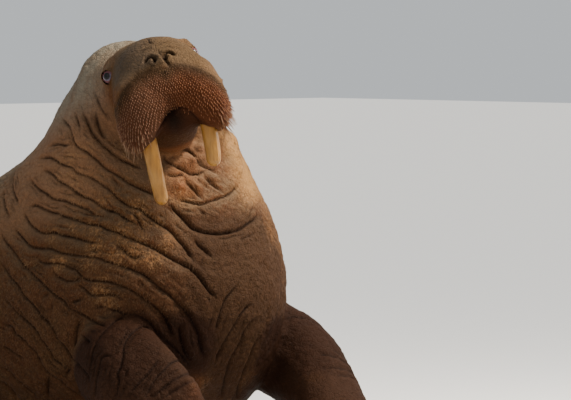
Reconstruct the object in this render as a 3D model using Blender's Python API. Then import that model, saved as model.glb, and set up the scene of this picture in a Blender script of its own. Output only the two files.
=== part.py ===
"""A life-size walrus, hauled out and resting on its belly, with chest and head raised on its foreflippers.

Metres, +Z up. The trunk lies along Y with the tail towards +Y, and the animal's right side is at -X. The head is
turned to the right, lifted and tilted. The flesh is modelled whole, parted by thin cuts into named pieces, and every
piece that meets the ground has a flat at z = 0.
"""

import math
import random

import bmesh
import bpy
import numpy as np
from mathutils import Matrix, Vector
from mathutils.bvhtree import BVHTree

# Driving dimensions
CHEST_HALF_WIDTH = 0.395
EYE_SPAN = 0.236
EYE_RADIUS = 0.0195
TUSK_RADIUS = 0.0195
BRISTLE_SPACING = 0.0175
LIP_GAP = 0.0035  # room between the chin and the lips
GAP = 0.0003  # between pieces that meet

# Where the head is and how it is held
HEAD_PLACE = Vector((-0.139, -0.160, 0.966))  # midway between the eyes
HEAD_TURN = math.radians(35)  # to the animal's right
HEAD_LIFT = math.radians(17)
HEAD_TILT = math.radians(15.5)  # crown towards the animal's right

# How finely the flesh is shaped, then thinned
FLESH_VOXEL = 0.0055
FLESH_TRIANGLES = 6700
HEAD_REACH = 0.45  # the skin is finer this near the eyes

# The trunk and neck from tail to nape. Each row: x, y and z of the middle, half width as a share of the chest's,
# height above and below the middle, lean of the spine in degrees, turn to the right in degrees, and how square the
# section is, 2 being an oval.
SPINE = (
    (0.000, 2.020, 0.060, 0.10, 0.030, 0.040, 0, 0, 2.1),
    (0.000, 1.930, 0.090, 0.24, 0.080, 0.100, 0, 0, 2.1),
    (0.000, 1.780, 0.145, 0.46, 0.135, 0.160, 0, 0, 2.2),
    (0.000, 1.560, 0.205, 0.69, 0.190, 0.222, 0, 0, 2.3),
    (0.000, 1.270, 0.265, 0.89, 0.245, 0.285, 2, 0, 2.35),
    (0.000, 0.960, 0.300, 1.00, 0.265, 0.320, 5, 0, 2.4),
    (0.000, 0.650, 0.325, 1.05, 0.290, 0.350, 14, 0, 2.4),
    (0.000, 0.420, 0.380, 1.04, 0.300, 0.430, 30, 0, 2.45),
    (0.005, 0.230, 0.480, 1.00, 0.275, 0.590, 46, 2, 2.45),
    (0.008, 0.078, 0.610, 0.885, 0.245, 0.515, 58, 8, 2.25),
    (-0.022, 0.000, 0.720, 0.700, 0.215, 0.335, 61, 16, 2.15),
    (-0.066, -0.042, 0.810, 0.545, 0.190, 0.240, 54, 24, 2.15),
    (-0.083, -0.085, 0.870, 0.490, 0.160, 0.190, 38, 30, 2.15),
    (-0.120, -0.075, 0.920, 0.340, 0.112, 0.150, 20, 33, 2.1),
    (-0.134, -0.126, 0.930, 0.235, 0.070, 0.100, 17, 35, 2.0),
)

# The skull from nape to nose, in the head's own axes. Each row: forward, up, half width, height above and below.
SKULL = (
    (-0.250, -0.100, 0.130, 0.165, 0.130),
    (-0.180, -0.075, 0.145, 0.150, 0.150),
    (-0.090, -0.055, 0.138, 0.136, 0.160),
    (0.000, -0.050, 0.118, 0.118, 0.150),
    (0.060, -0.065, 0.116, 0.117, 0.115),
    (0.105, -0.078, 0.112, 0.105, 0.066),
    (0.140, -0.090, 0.086, 0.074, 0.042),
    (0.158, -0.096, 0.048, 0.040, 0.026),
)

# One whisker pad from beside the nose to its drooping end: forward, sideways, up, half width, half depth.
PAD = (
    (0.088, 0.040, -0.050, 0.068, 0.046),
    (0.098, 0.055, -0.095, 0.080, 0.060),
    (0.098, 0.077, -0.136, 0.067, 0.063),
    (0.090, 0.092, -0.178, 0.052, 0.056),
    (0.078, 0.098, -0.208, 0.036, 0.042),
    (0.070, 0.100, -0.230, 0.016, 0.020),
)

# The chin and lower jaw: forward, up, half width, height above and below.
JAW = (
    (-0.070, -0.184, 0.064, 0.056, 0.046),
    (0.010, -0.180, 0.070, 0.066, 0.052),
    (0.062, -0.174, 0.064, 0.064, 0.048),
    (0.098, -0.170, 0.046, 0.046, 0.036),
    (0.112, -0.168, 0.018, 0.018, 0.016),
)

# A tusk's middle line from inside the jaw to its tip: forward, sideways, up, share of the full radius.
TUSK = (
    (0.086, 0.077, -0.180, 1.00),
    (0.077, 0.078, -0.235, 1.00),
    (0.060, 0.080, -0.290, 0.95),
    (0.034, 0.080, -0.345, 0.86),
)
# For each side: the share of that line that the tusk has grown, and how far outwards its end leans.
TUSK_GROWTH = {"right": (1.0, 0.002), "left": (0.68, -0.012)}

# An eye, for the left side: the middle of its front, and the way it looks, in the head's axes.
EYE_FRONT = Vector((0.0, EYE_SPAN / 2, 0.0))
EYE_AIM = Vector((0.71, 0.70, 0.05)).normalized()
LID_THICKNESS = 0.0035
LID_OPENING = (0.0140, 0.0132)  # half length and half height

# A nostril: the middle of its arch, the arch's radius, and the half width and half depth of its slot.
NOSTRIL = Vector((0.140, 0.024, -0.030))
NOSTRIL_AIM = Vector((0.80, 0.0, 0.60)).normalized()
NOSTRIL_RADIUS = 0.0118
NOSTRIL_SLOT = (0.0040, 0.0130)

# The bristles of the whisker pads. They lengthen from the middle of the muzzle to its drooping corners.
BRISTLE_RADIUS = 0.0013
BRISTLE_LENGTHS = (0.011, 0.036)
BRISTLE_TOP, BRISTLE_BOTTOM = -0.062, -0.240  # levels below the eyes
BRISTLE_AXIS = 0.020  # the pads curve round an upright axis this far ahead of the eyes
BRISTLE_BACK = 0.062  # no bristle stands less far ahead of the eyes
BRISTLE_PARTING = 0.012  # half the bare width under the nose
MUZZLE_RADIUS = 0.135

# A foreflipper: forearm rows and, for each finger, where its tip is. x is outwards.
FOREARM = (
    (0.150, 0.010, 0.305, 0.100, 0.115),
    (0.235, -0.130, 0.255, 0.106, 0.118),
    (0.292, -0.230, 0.198, 0.104, 0.118),
    (0.282, -0.335, 0.140, 0.098, 0.094),
    (0.255, -0.425, 0.088, 0.094, 0.064),
    (0.248, -0.490, 0.050, 0.098, 0.043),
    (0.258, -0.565, 0.022, 0.096, 0.027),
)
WRIST = Vector((0.242, -0.440, 0.040))
FINGER_TIPS = (
    (0.148, -0.705, 0.006),
    (0.222, -0.742, 0.006),
    (0.296, -0.745, 0.006),
    (0.364, -0.712, 0.006),
    (0.420, -0.652, 0.006),
)

WEB_NOTCH = 0.016  # how far the web's edge lies behind the fingertips

# A hindflipper: ankle rows and the tips of its toes, the outer two longest.
ANKLE = (
    (0.085, 1.700, 0.130, 0.090, 0.095),
    (0.130, 1.850, 0.085, 0.080, 0.070),
    (0.170, 1.950, 0.046, 0.080, 0.044),
    (0.200, 2.030, 0.022, 0.086, 0.027),
)
HEEL = Vector((0.165, 1.900, 0.036))
TOE_TIPS = (
    (0.150, 2.300, 0.006),
    (0.222, 2.262, 0.006),
    (0.292, 2.238, 0.006),
    (0.362, 2.212, 0.006),
    (0.440, 2.190, 0.006),
)

# Where the flesh is parted. Each plane: a point on it, and the way out of the piece.
MUZZLE_PLANES = (((0.048, 0, -0.10), (-0.97, 0, 0.24)),)
HEAD_PLANES = (((-0.160, 0, 0.10), (-0.949, 0, -0.316)),)
NECK_PLANES = (((-0.02, 0, 0.715), (0.25, 0.40, -0.88)),)
FORE_PLANES = (((0.270, -0.215, 0.235), (-0.45, 0.80, 0.40)), ((0.12, 0, 0), (-1, 0, 0)))
HIND_PLANES = (((0, 1.87, 0), (0, -1, 0)), ((0.078, 0, 0), (-1, 0, 0)))
TAIL_PLANES = (((0, 1.87, 0), (0, -1, 0)),)
RUMP_PLANES = (((0, 1.32, 0), (0, -1, 0)),)
BELLY_PLANES = (((0, 0.46, 0), (0, -1, 0)),)
FLOOR_PLANES = (((0, 0, 0), (0, 0, 1)),)  # the ground itself
BLOCK_SIZE = 9.0


def head_matrix():
    """Carries forward, left and up of the head into the world."""
    axes = Matrix(((0, 1, 0), (-1, 0, 0), (0, 0, 1)))
    turned = Matrix.Rotation(-HEAD_TURN, 3, "Z")
    lifted = Matrix.Rotation(-HEAD_LIFT, 3, Vector((1, 0, 0)))
    tilted = Matrix.Rotation(HEAD_TILT, 3, Vector((0, -1, 0)))
    return Matrix.Translation(HEAD_PLACE) @ (turned @ lifted @ tilted @ axes).to_4x4()


HEAD = head_matrix()


def clear_scene():
    for obj in list(bpy.data.objects):
        bpy.data.objects.remove(obj)


def curved_rows(rows, steps):
    """Rows of numbers read from a smooth curve through the given ones, with this many steps between each two."""
    points = np.array(rows, float)
    padded = np.vstack([2 * points[0] - points[1], points, 2 * points[-1] - points[-2]])
    found = []
    for before, start, end, after in zip(padded, padded[1:], padded[2:], padded[3:]):
        for t in np.arange(steps) / steps:
            slope_in, slope_out = (end - before) / 2, (after - start) / 2
            found.append(
                (2 * t**3 - 3 * t**2 + 1) * start
                + (t**3 - 2 * t**2 + t) * slope_in
                + (3 * t**2 - 2 * t**3) * end
                + (t**3 - t**2) * slope_out
            )
    return np.array(found + [points[-1]])


def object_from_rings(name, rings, matrix=None):
    """A closed tube of rings of points, with a flat cap at each end."""
    mesh = bmesh.new()
    loops = [[mesh.verts.new(point) for point in ring] for ring in rings]
    for ring, following in zip(loops, loops[1:]):
        for i in range(len(ring)):
            j = (i + 1) % len(ring)
            mesh.faces.new((ring[i], ring[j], following[j], following[i]))
    mesh.faces.new(reversed(loops[0]))
    mesh.faces.new(loops[-1])
    place(mesh, matrix)
    return object_from_bmesh(name, mesh)


def place(mesh, matrix):
    """Turns every face outwards, then moves the mesh by the matrix, which may mirror it."""
    bmesh.ops.recalc_face_normals(mesh, faces=mesh.faces)
    if matrix:
        mesh.transform(matrix)
        if matrix.determinant() < 0:
            bmesh.ops.reverse_faces(mesh, faces=mesh.faces)


def object_from_bmesh(name, mesh):
    data = bpy.data.meshes.new(name)
    mesh.to_mesh(data)
    mesh.free()
    obj = bpy.data.objects.new(name, data)
    bpy.context.scene.collection.objects.link(obj)
    return obj


def section(middle, side, up, half_width, above, below, sides, fullness=2.0):
    """One ring: an oval round its middle, taller on one side where above and below differ."""
    ring = []
    for i in range(sides):
        angle = 2 * math.pi * i / sides
        c, s = math.cos(angle), math.sin(angle)
        across = math.copysign(abs(c) ** (2 / fullness), c) * half_width
        height = math.copysign(abs(s) ** (2 / fullness), s) * (above if s > 0 else below)
        ring.append(Vector(middle) + side * across + up * height)
    return ring


def trunk_and_neck():
    rings = []
    for x, y, z, width, above, below, lean, turn, square in curved_rows(SPINE, 5):
        lean, turn = math.radians(lean), math.radians(turn)
        ahead = Vector((-math.sin(turn), -math.cos(turn), 0))
        side = Vector((math.cos(turn), -math.sin(turn), 0))
        up = Vector((0, 0, math.cos(lean))) - ahead * math.sin(lean)
        width *= CHEST_HALF_WIDTH
        rings.append(section((x, y, z), side, up, width, above, below, 48, square))
    return object_from_rings("trunk_and_neck", rings)


def fore_and_aft(name, rows, steps=4, sides=32, grown=0.0):
    """A shape along the head's forward axis from rows of forward, up, half width, above and below."""
    side, up = Vector((0, 1, 0)), Vector((0, 0, 1))
    rows = curved_rows(rows, steps)
    rows[0][0] -= grown
    rows[-1][0] += grown
    rings = [
        section((f, 0, u), side, up, w + grown, above + grown, below + grown, sides)
        for f, u, w, above, below in rows
    ]
    return object_from_rings(name, rings, HEAD)


def limb(name, rows, palm, steps=4, sides=20, matrix=None):
    """A tapered shape along a path from rows of x, y, z, half width and half thickness. palm is the flat side."""
    rows = curved_rows(rows, steps)
    points = [Vector(row[:3]) for row in rows]
    rings = []
    for i, (point, row) in enumerate(zip(points, rows)):
        ahead = (points[min(i + 1, len(points) - 1)] - points[max(i - 1, 0)]).normalized()
        side = ahead.cross(palm).normalized()
        up = side.cross(ahead)
        rings.append(section(point, side, up, row[3], row[4], row[4], sides))
    return object_from_rings(name, rings, matrix)


def whisker_pad(side):
    rows = [(f, side * l, u, width, depth) for f, l, u, width, depth in PAD]
    return limb(f"pad_{side}", rows, Vector((1, 0, 0)), 4, 28, HEAD)


def ball(name, middle, radii, matrix=None, segments=24, rings=14):
    mesh = bmesh.new()
    bmesh.ops.create_uvsphere(mesh, u_segments=segments, v_segments=rings, radius=1)
    sized = Matrix.Translation(Vector(middle)) @ Matrix.Diagonal((*radii, 1))
    place(mesh, matrix @ sized if matrix else sized)
    return object_from_bmesh(name, mesh)


def mirrored(vector, side):
    return Vector((vector[0], vector[1] * side, vector[2]))


def head_shapes():
    shapes = [fore_and_aft("skull", SKULL), whisker_pad(-1), whisker_pad(1)]
    for side in (-1, 1):
        socket = mirrored(EYE_FRONT - EYE_AIM * EYE_RADIUS * 1.35, side)
        shapes.append(ball("brow", (-0.012, side * 0.080, -0.006), (0.056, 0.036, 0.040), HEAD))
        shapes.append(ball("socket", socket, [EYE_RADIUS * 1.35] * 3, HEAD))
        shapes.append(ball("nostril_wing", (0.134, side * 0.022, -0.040), (0.018, 0.016, 0.014), HEAD))
    shapes.append(ball("nose", (0.122, 0, -0.046), (0.038, 0.050, 0.032), HEAD))
    shapes.append(ball("upper_lip", (0.119, 0, -0.093), (0.045, 0.078, 0.040), HEAD))
    return shapes


def hand(name, root, tips, spread, side):
    """Fingers from near the root to their tips, with a web between each two. spread parts their roots."""
    mirror = Matrix.Diagonal((side, 1, 1, 1))
    palm, shapes, lines = Vector((0, 0, 1)), [], []
    middle = (len(tips) - 1) / 2
    for i, tip in enumerate(tips):
        tip = Vector(tip)
        start = root + Vector(((i - middle) * spread, 0, 0))
        knuckle = start.lerp(tip, 0.50)
        knuckle.z = 0.014
        rows = ((*start, 0.034, 0.030), (*knuckle, 0.027, 0.020), (*tip, 0.015, 0.011))
        shapes.append(limb(f"{name}_digit", rows, palm, 5, 12, mirror))
        lines.append((start, knuckle, tip))
    for first, second in zip(lines, lines[1:]):
        rows = []
        for a, b in zip(first, second):
            rows.append((*((a + b) / 2), (a - b).length * 0.60, 0.017))
        end = Vector(rows[-1][:3])
        inward = (Vector(rows[-2][:3]) - end).normalized() * WEB_NOTCH
        rows[-1] = (*(end + inward), rows[-1][3] * 0.95, 0.011)
        shapes.append(limb(f"{name}_web", rows, palm, 5, 12, mirror))
    return shapes


def flippers():
    shapes = []
    for side in (-1, 1):
        mirror = Matrix.Diagonal((side, 1, 1, 1))
        shapes.append(limb("forearm", FOREARM, Vector((0, -0.4, 1)), 5, 24, mirror))
        shapes += hand("fore", WRIST, FINGER_TIPS, 0.034, side)
        shapes.append(limb("ankle", ANKLE, Vector((0, 0, 1)), 5, 24, mirror))
        shapes += hand("hind", HEEL, TOE_TIPS, 0.030, side)
    return shapes


def applied(obj):
    """Gives the object the mesh that its modifiers make, and removes them."""
    bpy.context.view_layer.update()
    graph = bpy.context.evaluated_depsgraph_get()
    made = bpy.data.meshes.new_from_object(obj.evaluated_get(graph), depsgraph=graph)
    obj.modifiers.clear()
    old = obj.data
    obj.data = made
    bpy.data.meshes.remove(old)
    return obj


def joined(name, shapes):
    mesh = bmesh.new()
    for shape in shapes:
        mesh.from_mesh(shape.data)
    for shape in shapes:
        bpy.data.objects.remove(shape)
    return object_from_bmesh(name, mesh)


def remeshed(obj, voxel, smoothing, factor=0.5):
    remesh = obj.modifiers.new("blend", "REMESH")
    remesh.mode = "VOXEL"
    remesh.voxel_size = voxel
    smooth = obj.modifiers.new("soften", "SMOOTH")
    smooth.iterations = smoothing
    smooth.factor = factor
    return applied(obj)


def flesh():
    """Trunk, neck, head and flippers as one skin, thinned most where it is plain."""
    whole = joined("flesh", [trunk_and_neck(), *head_shapes(), *flippers()])
    remeshed(whole, FLESH_VOXEL, 8)
    plainness = whole.vertex_groups.new(name="plainness")
    for vertex in whole.data.vertices:
        near = min((vertex.co - HEAD_PLACE).length / HEAD_REACH, 1.0)
        plainness.add([vertex.index], 0.88 + 0.12 * near**2, "REPLACE")
    thin = whole.modifiers.new("thin", "DECIMATE")
    thin.ratio = FLESH_TRIANGLES / (2 * len(whole.data.polygons))
    thin.vertex_group = plainness.name
    return applied(whole)


def copied(obj, name):
    double = bpy.data.objects.new(name, obj.data.copy())
    bpy.context.scene.collection.objects.link(double)
    return double


def boolean(obj, other, operation, solver="MANIFOLD"):
    """Joins other to the object, cuts it away or keeps what both share, then removes other."""
    modifier = obj.modifiers.new(operation.lower(), "BOOLEAN")
    modifier.operation = operation
    modifier.object = other
    modifier.solver = solver
    applied(obj)
    bpy.data.objects.remove(other)
    return obj


def block(planes, matrix=None, grown=0.0):
    """A big closed block with a flat side on each plane, moved outwards by grown."""
    mesh = bmesh.new()
    bmesh.ops.create_cube(mesh, size=BLOCK_SIZE)
    for point, outward in planes:
        outward = Vector(outward).normalized()
        cut = bmesh.ops.bisect_plane(
            mesh,
            geom=mesh.verts[:] + mesh.edges[:] + mesh.faces[:],
            plane_co=Vector(point) + outward * grown,
            plane_no=outward,
            clear_outer=True,
        )
        rim = [edge for edge in cut["geom_cut"] if isinstance(edge, bmesh.types.BMEdge)]
        bmesh.ops.edgeloop_fill(mesh, edges=rim)
    place(mesh, matrix)
    return object_from_bmesh("block", mesh)


def parted(rest, name, planes, matrix=None):
    """What rest holds between the planes becomes a piece of its own, a gap away from what is left."""
    piece = copied(rest, name)
    boolean(piece, block(planes, matrix), "INTERSECT")
    boolean(rest, block(planes, matrix, GAP), "DIFFERENCE")
    return largest_surface(piece)


def largest_surface(obj):
    """Drops every closed surface but the one of most corners."""
    mesh = bmesh.new()
    mesh.from_mesh(obj.data)
    waiting, groups = set(mesh.verts), []
    while waiting:
        group, front = set(), [waiting.pop()]
        while front:
            vertex = front.pop()
            group.add(vertex)
            near = {edge.other_vert(vertex) for edge in vertex.link_edges} & waiting
            waiting -= near
            front.extend(near)
        groups.append(group)
    groups.sort(key=len)
    scraps = [vertex for group in groups[:-1] for vertex in group]
    bmesh.ops.delete(mesh, geom=scraps, context="VERTS")
    mesh.to_mesh(obj.data)
    mesh.free()
    return obj


def eyeball(side, grown=0.0):
    middle = mirrored(EYE_FRONT - EYE_AIM * EYE_RADIUS, side)
    radius = EYE_RADIUS + grown
    return ball("eyeball", middle, (radius, radius, radius), HEAD, 16, 10)


def lids(side):
    return eyeball(side, LID_THICKNESS)


def lid_opening(side):
    """An oval plug from the eyeball's middle outwards."""
    aim = mirrored(EYE_AIM, side)
    along = aim.cross(Vector((0, 0, 1))).normalized()
    across = along.cross(aim)
    middle = mirrored(EYE_FRONT, side) - aim * EYE_RADIUS
    rings = [
        section(middle + aim * reach, along, across, LID_OPENING[0] * share, *[LID_OPENING[1] * share] * 2, 20)
        for reach, share in ((0.004, 0.9), (0.016, 0.95), (0.030, 1.25))
    ]
    return object_from_rings("opening", rings, HEAD)


def tusk(name, side, growth, grown=0.0):
    """A tusk with a blunt, rounded tip."""
    reach, lean = growth
    rows = curved_rows(TUSK, 3)
    count = round((len(rows) - 1) * reach) + 1
    points = []
    for i, row in enumerate(rows[:count]):
        points.append(mirrored((row[0], row[1] + lean * (i / (count - 1)) ** 2, row[2]), side))
    ahead = (points[-1] - points[-2]).normalized()
    radii = [row[3] * TUSK_RADIUS + grown for row in rows[:count]]
    for rise in (0.35, 0.65, 0.87, 0.98):
        points.append(points[count - 1] + ahead * radii[count - 1] * rise)
        radii.append(radii[count - 1] * math.sqrt(1 - rise**2))
    side_way = ahead.cross(Vector((1, 0, 0))).normalized()
    front_way = side_way.cross(ahead)
    rings = [
        section(point, side_way, front_way, radius, radius * 1.1, radius * 1.1, 12)
        for point, radius in zip(points, radii)
    ]
    return object_from_rings(name, rings, HEAD)


def jaw(name, grown=0.0):
    return fore_and_aft(name, JAW, 2, 22, grown)


def mouth_line():
    """A jaw a little too big, whose cut leaves room between the chin and the lips."""
    return fore_and_aft("mouth_line", JAW[1:], 2, 22, LIP_GAP)


def nostril(side):
    """An arched slot that is open below, to be cut out."""
    across = Vector((0, 1, 0))
    rise = NOSTRIL_AIM.cross(across)
    middle = mirrored(NOSTRIL, side)
    rings = []
    for i in range(13):
        angle = math.radians(-25 + 215 * i / 12)
        outward = across * side * math.cos(angle) + rise * math.sin(angle)
        thin = NOSTRIL_SLOT[0] * (0.45 + 0.55 * math.sin(math.pi * (i + 0.5) / 13))
        depth = NOSTRIL_SLOT[1]
        rings.append(section(middle + outward * NOSTRIL_RADIUS, outward, NOSTRIL_AIM, thin, depth, depth, 10))
    return object_from_rings("nostril", rings, HEAD)


def material(name, colour, roughness, metallic=0.0):
    made = bpy.data.materials.new(name)
    made.use_nodes = True
    shader = made.node_tree.nodes["Principled BSDF"]
    shader.inputs["Base Color"].default_value = (*colour, 1)
    shader.inputs["Roughness"].default_value = roughness
    shader.inputs["Metallic"].default_value = metallic
    return made


def skin_material():
    return material("skin", (0.26, 0.13, 0.075), 0.6)


def muzzle_material():
    return material("muzzle_skin", (0.16, 0.065, 0.035), 0.6)


def flipper_material():
    return material("flipper_skin", (0.13, 0.07, 0.045), 0.5)


def ivory_material():
    return material("ivory", (0.72, 0.50, 0.24), 0.35)


def eye_material():
    return material("eye_surface", (0.03, 0.02, 0.02), 0.08)


def finished(obj, look):
    """Names the look of a piece and shades it smooth."""
    obj.data.materials.clear()
    obj.data.materials.append(look)
    obj.data.shade_smooth()
    obj.data.set_sharp_from_angle(angle=math.radians(50))
    return obj


def bristle(root, way, droop, length):
    """One bristle as rings of points: sunk root, base, middle, and a fine tip. It bends towards droop."""
    side = way.cross(Vector((0, 0, 1))).normalized()
    rings = []
    for along, share in ((-0.30, 1.0), (0.50, 0.80), (1.0, 0.20)):
        bend = droop * max(along, 0.0) ** 2 * length * 0.25
        middle = root + way * along * length + bend
        radius = BRISTLE_RADIUS * share
        up = side.cross(way)
        rings.append(section(middle, side, up, radius, radius, radius, 3))
    return rings


def bristle_field(muzzle):
    """Rows of bristles round both pads, each set where a line from outside first meets the skin."""
    draw = random.Random(7)
    mesh = muzzle.data.copy()
    mesh.transform(HEAD.inverted())
    tree = BVHTree.FromPolygons([v.co for v in mesh.vertices], [p.vertices for p in mesh.polygons])
    bpy.data.meshes.remove(mesh)
    rows = round((BRISTLE_TOP - BRISTLE_BOTTOM) / (BRISTLE_SPACING * 0.86))
    step = BRISTLE_SPACING / MUZZLE_RADIUS
    count = int(math.radians(100) / step)
    found = []
    for row in range(rows + 1):
        drop = row / rows
        level = BRISTLE_TOP + (BRISTLE_BOTTOM - BRISTLE_TOP) * drop
        for i in range(-count, count + 1):
            angle = (i + 0.5 * (row % 2)) * step + draw.uniform(-0.1, 0.1) * step
            outward = Vector((math.cos(angle), math.sin(angle), 0))
            height = level + draw.uniform(-0.1, 0.1) * BRISTLE_SPACING
            start = Vector((BRISTLE_AXIS, 0, height)) + outward * 3 * MUZZLE_RADIUS
            hit, normal, _, _ = tree.ray_cast(start, -outward)
            if hit is None or normal.dot(outward) < 0.35 or hit.x < BRISTLE_BACK:
                continue
            if abs(hit.y) < BRISTLE_PARTING:
                continue
            corner = drop * (0.35 + 0.65 * min(abs(hit.y) / MUZZLE_RADIUS, 1.0))
            length = BRISTLE_LENGTHS[0] + (BRISTLE_LENGTHS[1] - BRISTLE_LENGTHS[0]) * corner**1.5
            length *= draw.uniform(0.85, 1.15)
            down = Vector((0, normal.y * 0.25, -1))
            way = (normal * (0.75 - 0.25 * corner) + down * (0.45 + 0.55 * corner)).normalized()
            found.append(bristle(hit, way, down, length))
    return found


def with_bristles(muzzle):
    """Fuses every bristle to the muzzle by its sunk root."""
    group = bpy.data.collections.new("bristles")
    bpy.context.scene.collection.children.link(group)
    for rings in bristle_field(muzzle):
        spine = object_from_rings("bristle", rings, HEAD)
        bpy.context.scene.collection.objects.unlink(spine)
        group.objects.link(spine)
    union = muzzle.modifiers.new("bristles", "BOOLEAN")
    union.operation = "UNION"
    union.operand_type = "COLLECTION"
    union.collection = group
    union.solver = "MANIFOLD"
    applied(muzzle)
    for spine in list(group.objects):
        bpy.data.objects.remove(spine)
    bpy.data.collections.remove(group)
    return largest_surface(muzzle)


SIDES = (("right", -1), ("left", 1))


def walrus():
    skin, muzzle_skin, flipper_skin = skin_material(), muzzle_material(), flipper_material()
    ivory, eye_look = ivory_material(), eye_material()
    whole = flesh()
    boolean(whole, block(FLOOR_PLANES), "DIFFERENCE")
    chin = jaw("lower_jaw")
    pieces = [(chin, skin)]
    for name, side in SIDES:
        boolean(whole, lids(side), "UNION")
        boolean(whole, lid_opening(side), "DIFFERENCE")
        boolean(whole, eyeball(side, GAP), "DIFFERENCE")
        boolean(whole, nostril(side), "DIFFERENCE")
        boolean(whole, tusk("socket", side, TUSK_GROWTH[name], GAP), "DIFFERENCE")
        boolean(chin, tusk("socket", side, TUSK_GROWTH[name], GAP), "DIFFERENCE")
        eye = eyeball(side)
        eye.name = f"eye_{name}"
        pieces.append((eye, eye_look))
        pieces.append((tusk(f"tusk_{name}", side, TUSK_GROWTH[name]), ivory))
    boolean(whole, jaw("socket", GAP), "DIFFERENCE")
    boolean(whole, mouth_line(), "DIFFERENCE")
    largest_surface(chin)
    head = parted(whole, "head", HEAD_PLANES, HEAD)
    muzzle = parted(head, "muzzle", MUZZLE_PLANES, HEAD)
    pieces += [(largest_surface(head), skin), (with_bristles(muzzle), muzzle_skin)]
    for name, side in SIDES:
        mirror = Matrix.Diagonal((side, 1, 1, 1))
        pieces.append((parted(whole, f"foreflipper_{name}", FORE_PLANES, mirror), flipper_skin))
        pieces.append((parted(whole, f"hindflipper_{name}", HIND_PLANES, mirror), flipper_skin))
    for name, planes in (("tail", TAIL_PLANES), ("rump", RUMP_PLANES), ("belly", BELLY_PLANES), ("neck", NECK_PLANES)):
        pieces.append((parted(whole, name, planes), skin))
    whole.name = "chest"
    pieces.append((largest_surface(whole), skin))
    for piece, look in pieces:
        finished(piece, look)
    return [piece for piece, _ in pieces]


def centre_on_floor(pieces):
    """Moves everything so that the middle of the whole box's underside is the origin."""
    corners = [vertex.co for piece in pieces for vertex in piece.data.vertices]
    low = Vector([min(corner[i] for corner in corners) for i in range(3)])
    high = Vector([max(corner[i] for corner in corners) for i in range(3)])
    shift = Matrix.Translation((-(low.x + high.x) / 2, -(low.y + high.y) / 2, 0))
    for piece in pieces:
        piece.data.transform(shift)


clear_scene()
centre_on_floor(walrus())
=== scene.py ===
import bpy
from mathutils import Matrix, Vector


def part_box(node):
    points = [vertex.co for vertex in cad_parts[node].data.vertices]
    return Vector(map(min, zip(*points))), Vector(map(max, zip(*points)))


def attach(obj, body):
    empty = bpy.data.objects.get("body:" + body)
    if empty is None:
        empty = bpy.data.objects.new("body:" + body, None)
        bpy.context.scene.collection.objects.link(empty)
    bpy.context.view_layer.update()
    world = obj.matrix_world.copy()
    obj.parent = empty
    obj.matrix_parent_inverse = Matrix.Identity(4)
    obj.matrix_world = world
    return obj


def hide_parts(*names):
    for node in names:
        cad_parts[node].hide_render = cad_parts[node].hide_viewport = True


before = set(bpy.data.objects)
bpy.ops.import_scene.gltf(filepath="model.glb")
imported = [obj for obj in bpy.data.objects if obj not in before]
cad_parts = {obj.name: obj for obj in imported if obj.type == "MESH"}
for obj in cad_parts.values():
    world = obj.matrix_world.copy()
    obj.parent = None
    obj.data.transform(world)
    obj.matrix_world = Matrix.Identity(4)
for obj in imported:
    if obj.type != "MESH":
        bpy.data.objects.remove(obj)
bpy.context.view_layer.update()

import math
import random

import bmesh
import bpy
import numpy as np
from mathutils import Matrix, Vector, noise
from mathutils.bvhtree import BVHTree
from mathutils.kdtree import KDTree

noise.seed_set(3)  # without a seed the noise vectors follow the clock

print("stage 1: head frame and camera")

# how the head is held, as in the solids, in degrees
headPose = {"turn": 35, "lift": 17, "tilt": 15.5}
eyeSpec = {
    "radius": 0.0195, "aim": (0.71, 0.70, 0.05), "gaze": (0.79, 0.61, 0.02), "halfLength": 0.0152, "halfHeight": 0.0128,
    "looks": {-1: (0.79, -0.61, 0.02), 1: (0.955, 0.295, -0.02)}, "cornea": 0.035, "size": 0.985,
}


def headTurning():
    axes = Matrix(((0, 1, 0), (-1, 0, 0), (0, 0, 1)))
    turned = Matrix.Rotation(math.radians(-headPose["turn"]), 3, "Z")
    lifted = Matrix.Rotation(math.radians(-headPose["lift"]), 3, Vector((1, 0, 0)))
    tilted = Matrix.Rotation(math.radians(headPose["tilt"]), 3, Vector((0, -1, 0)))
    return turned @ lifted @ tilted @ axes


def boxMiddle(name):
    low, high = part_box(name)
    return (Vector(low) + Vector(high)) / 2


def sided(vector, side):
    return Vector((vector[0], vector[1] * side, vector[2]))


headSpin = headTurning()
eyeAim, eyeGaze = Vector(eyeSpec["aim"]).normalized(), Vector(eyeSpec["gaze"]).normalized()
eyeMiddles = {-1: boxMiddle("eye_right"), 1: boxMiddle("eye_left")}
forwardOfEyes = headSpin @ Vector((eyeAim.x * eyeSpec["radius"], 0, eyeAim.z * eyeSpec["radius"]))
headPlace = (eyeMiddles[-1] + eyeMiddles[1]) / 2 + forwardOfEyes
eyeMiddles[1] += headSpin @ Vector((0, 0.004, 0.001))  # the far eye stands out a little more
headFrame = Matrix.Translation(headPlace) @ headSpin.to_4x4()
toHead = headFrame.inverted()

# the view: angles in degrees, metres to the head, metres a pixel there, the pixel midway between the eyes,
# the picture's middle and width in pixels, and the sensor's width in millimetres
view = {
    "azimuth": -43, "elevation": 3, "distance": 8, "pixel": 0.0025, "eyes": (150.4, 64), "middle": (285.5, 200),
    "width": 571, "sensor": 36, "reach": 200,
}
azimuth, elevation = math.radians(view["azimuth"]), math.radians(view["elevation"])
towardCamera = Vector((
    math.sin(azimuth) * math.cos(elevation), -math.cos(azimuth) * math.cos(elevation), math.sin(elevation),
))
rightward = Vector((math.cos(azimuth), math.sin(azimuth), 0))
upward = towardCamera.cross(rightward)


def pixelPlace(x, y):
    # where a pixel lies in the upright plane through the eyes
    right = (x - view["eyes"][0]) * view["pixel"]
    up = (view["eyes"][1] - y) * view["pixel"]
    return headPlace + rightward * right + upward * up


def linked(obj):
    bpy.context.scene.collection.objects.link(obj)
    return obj


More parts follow.
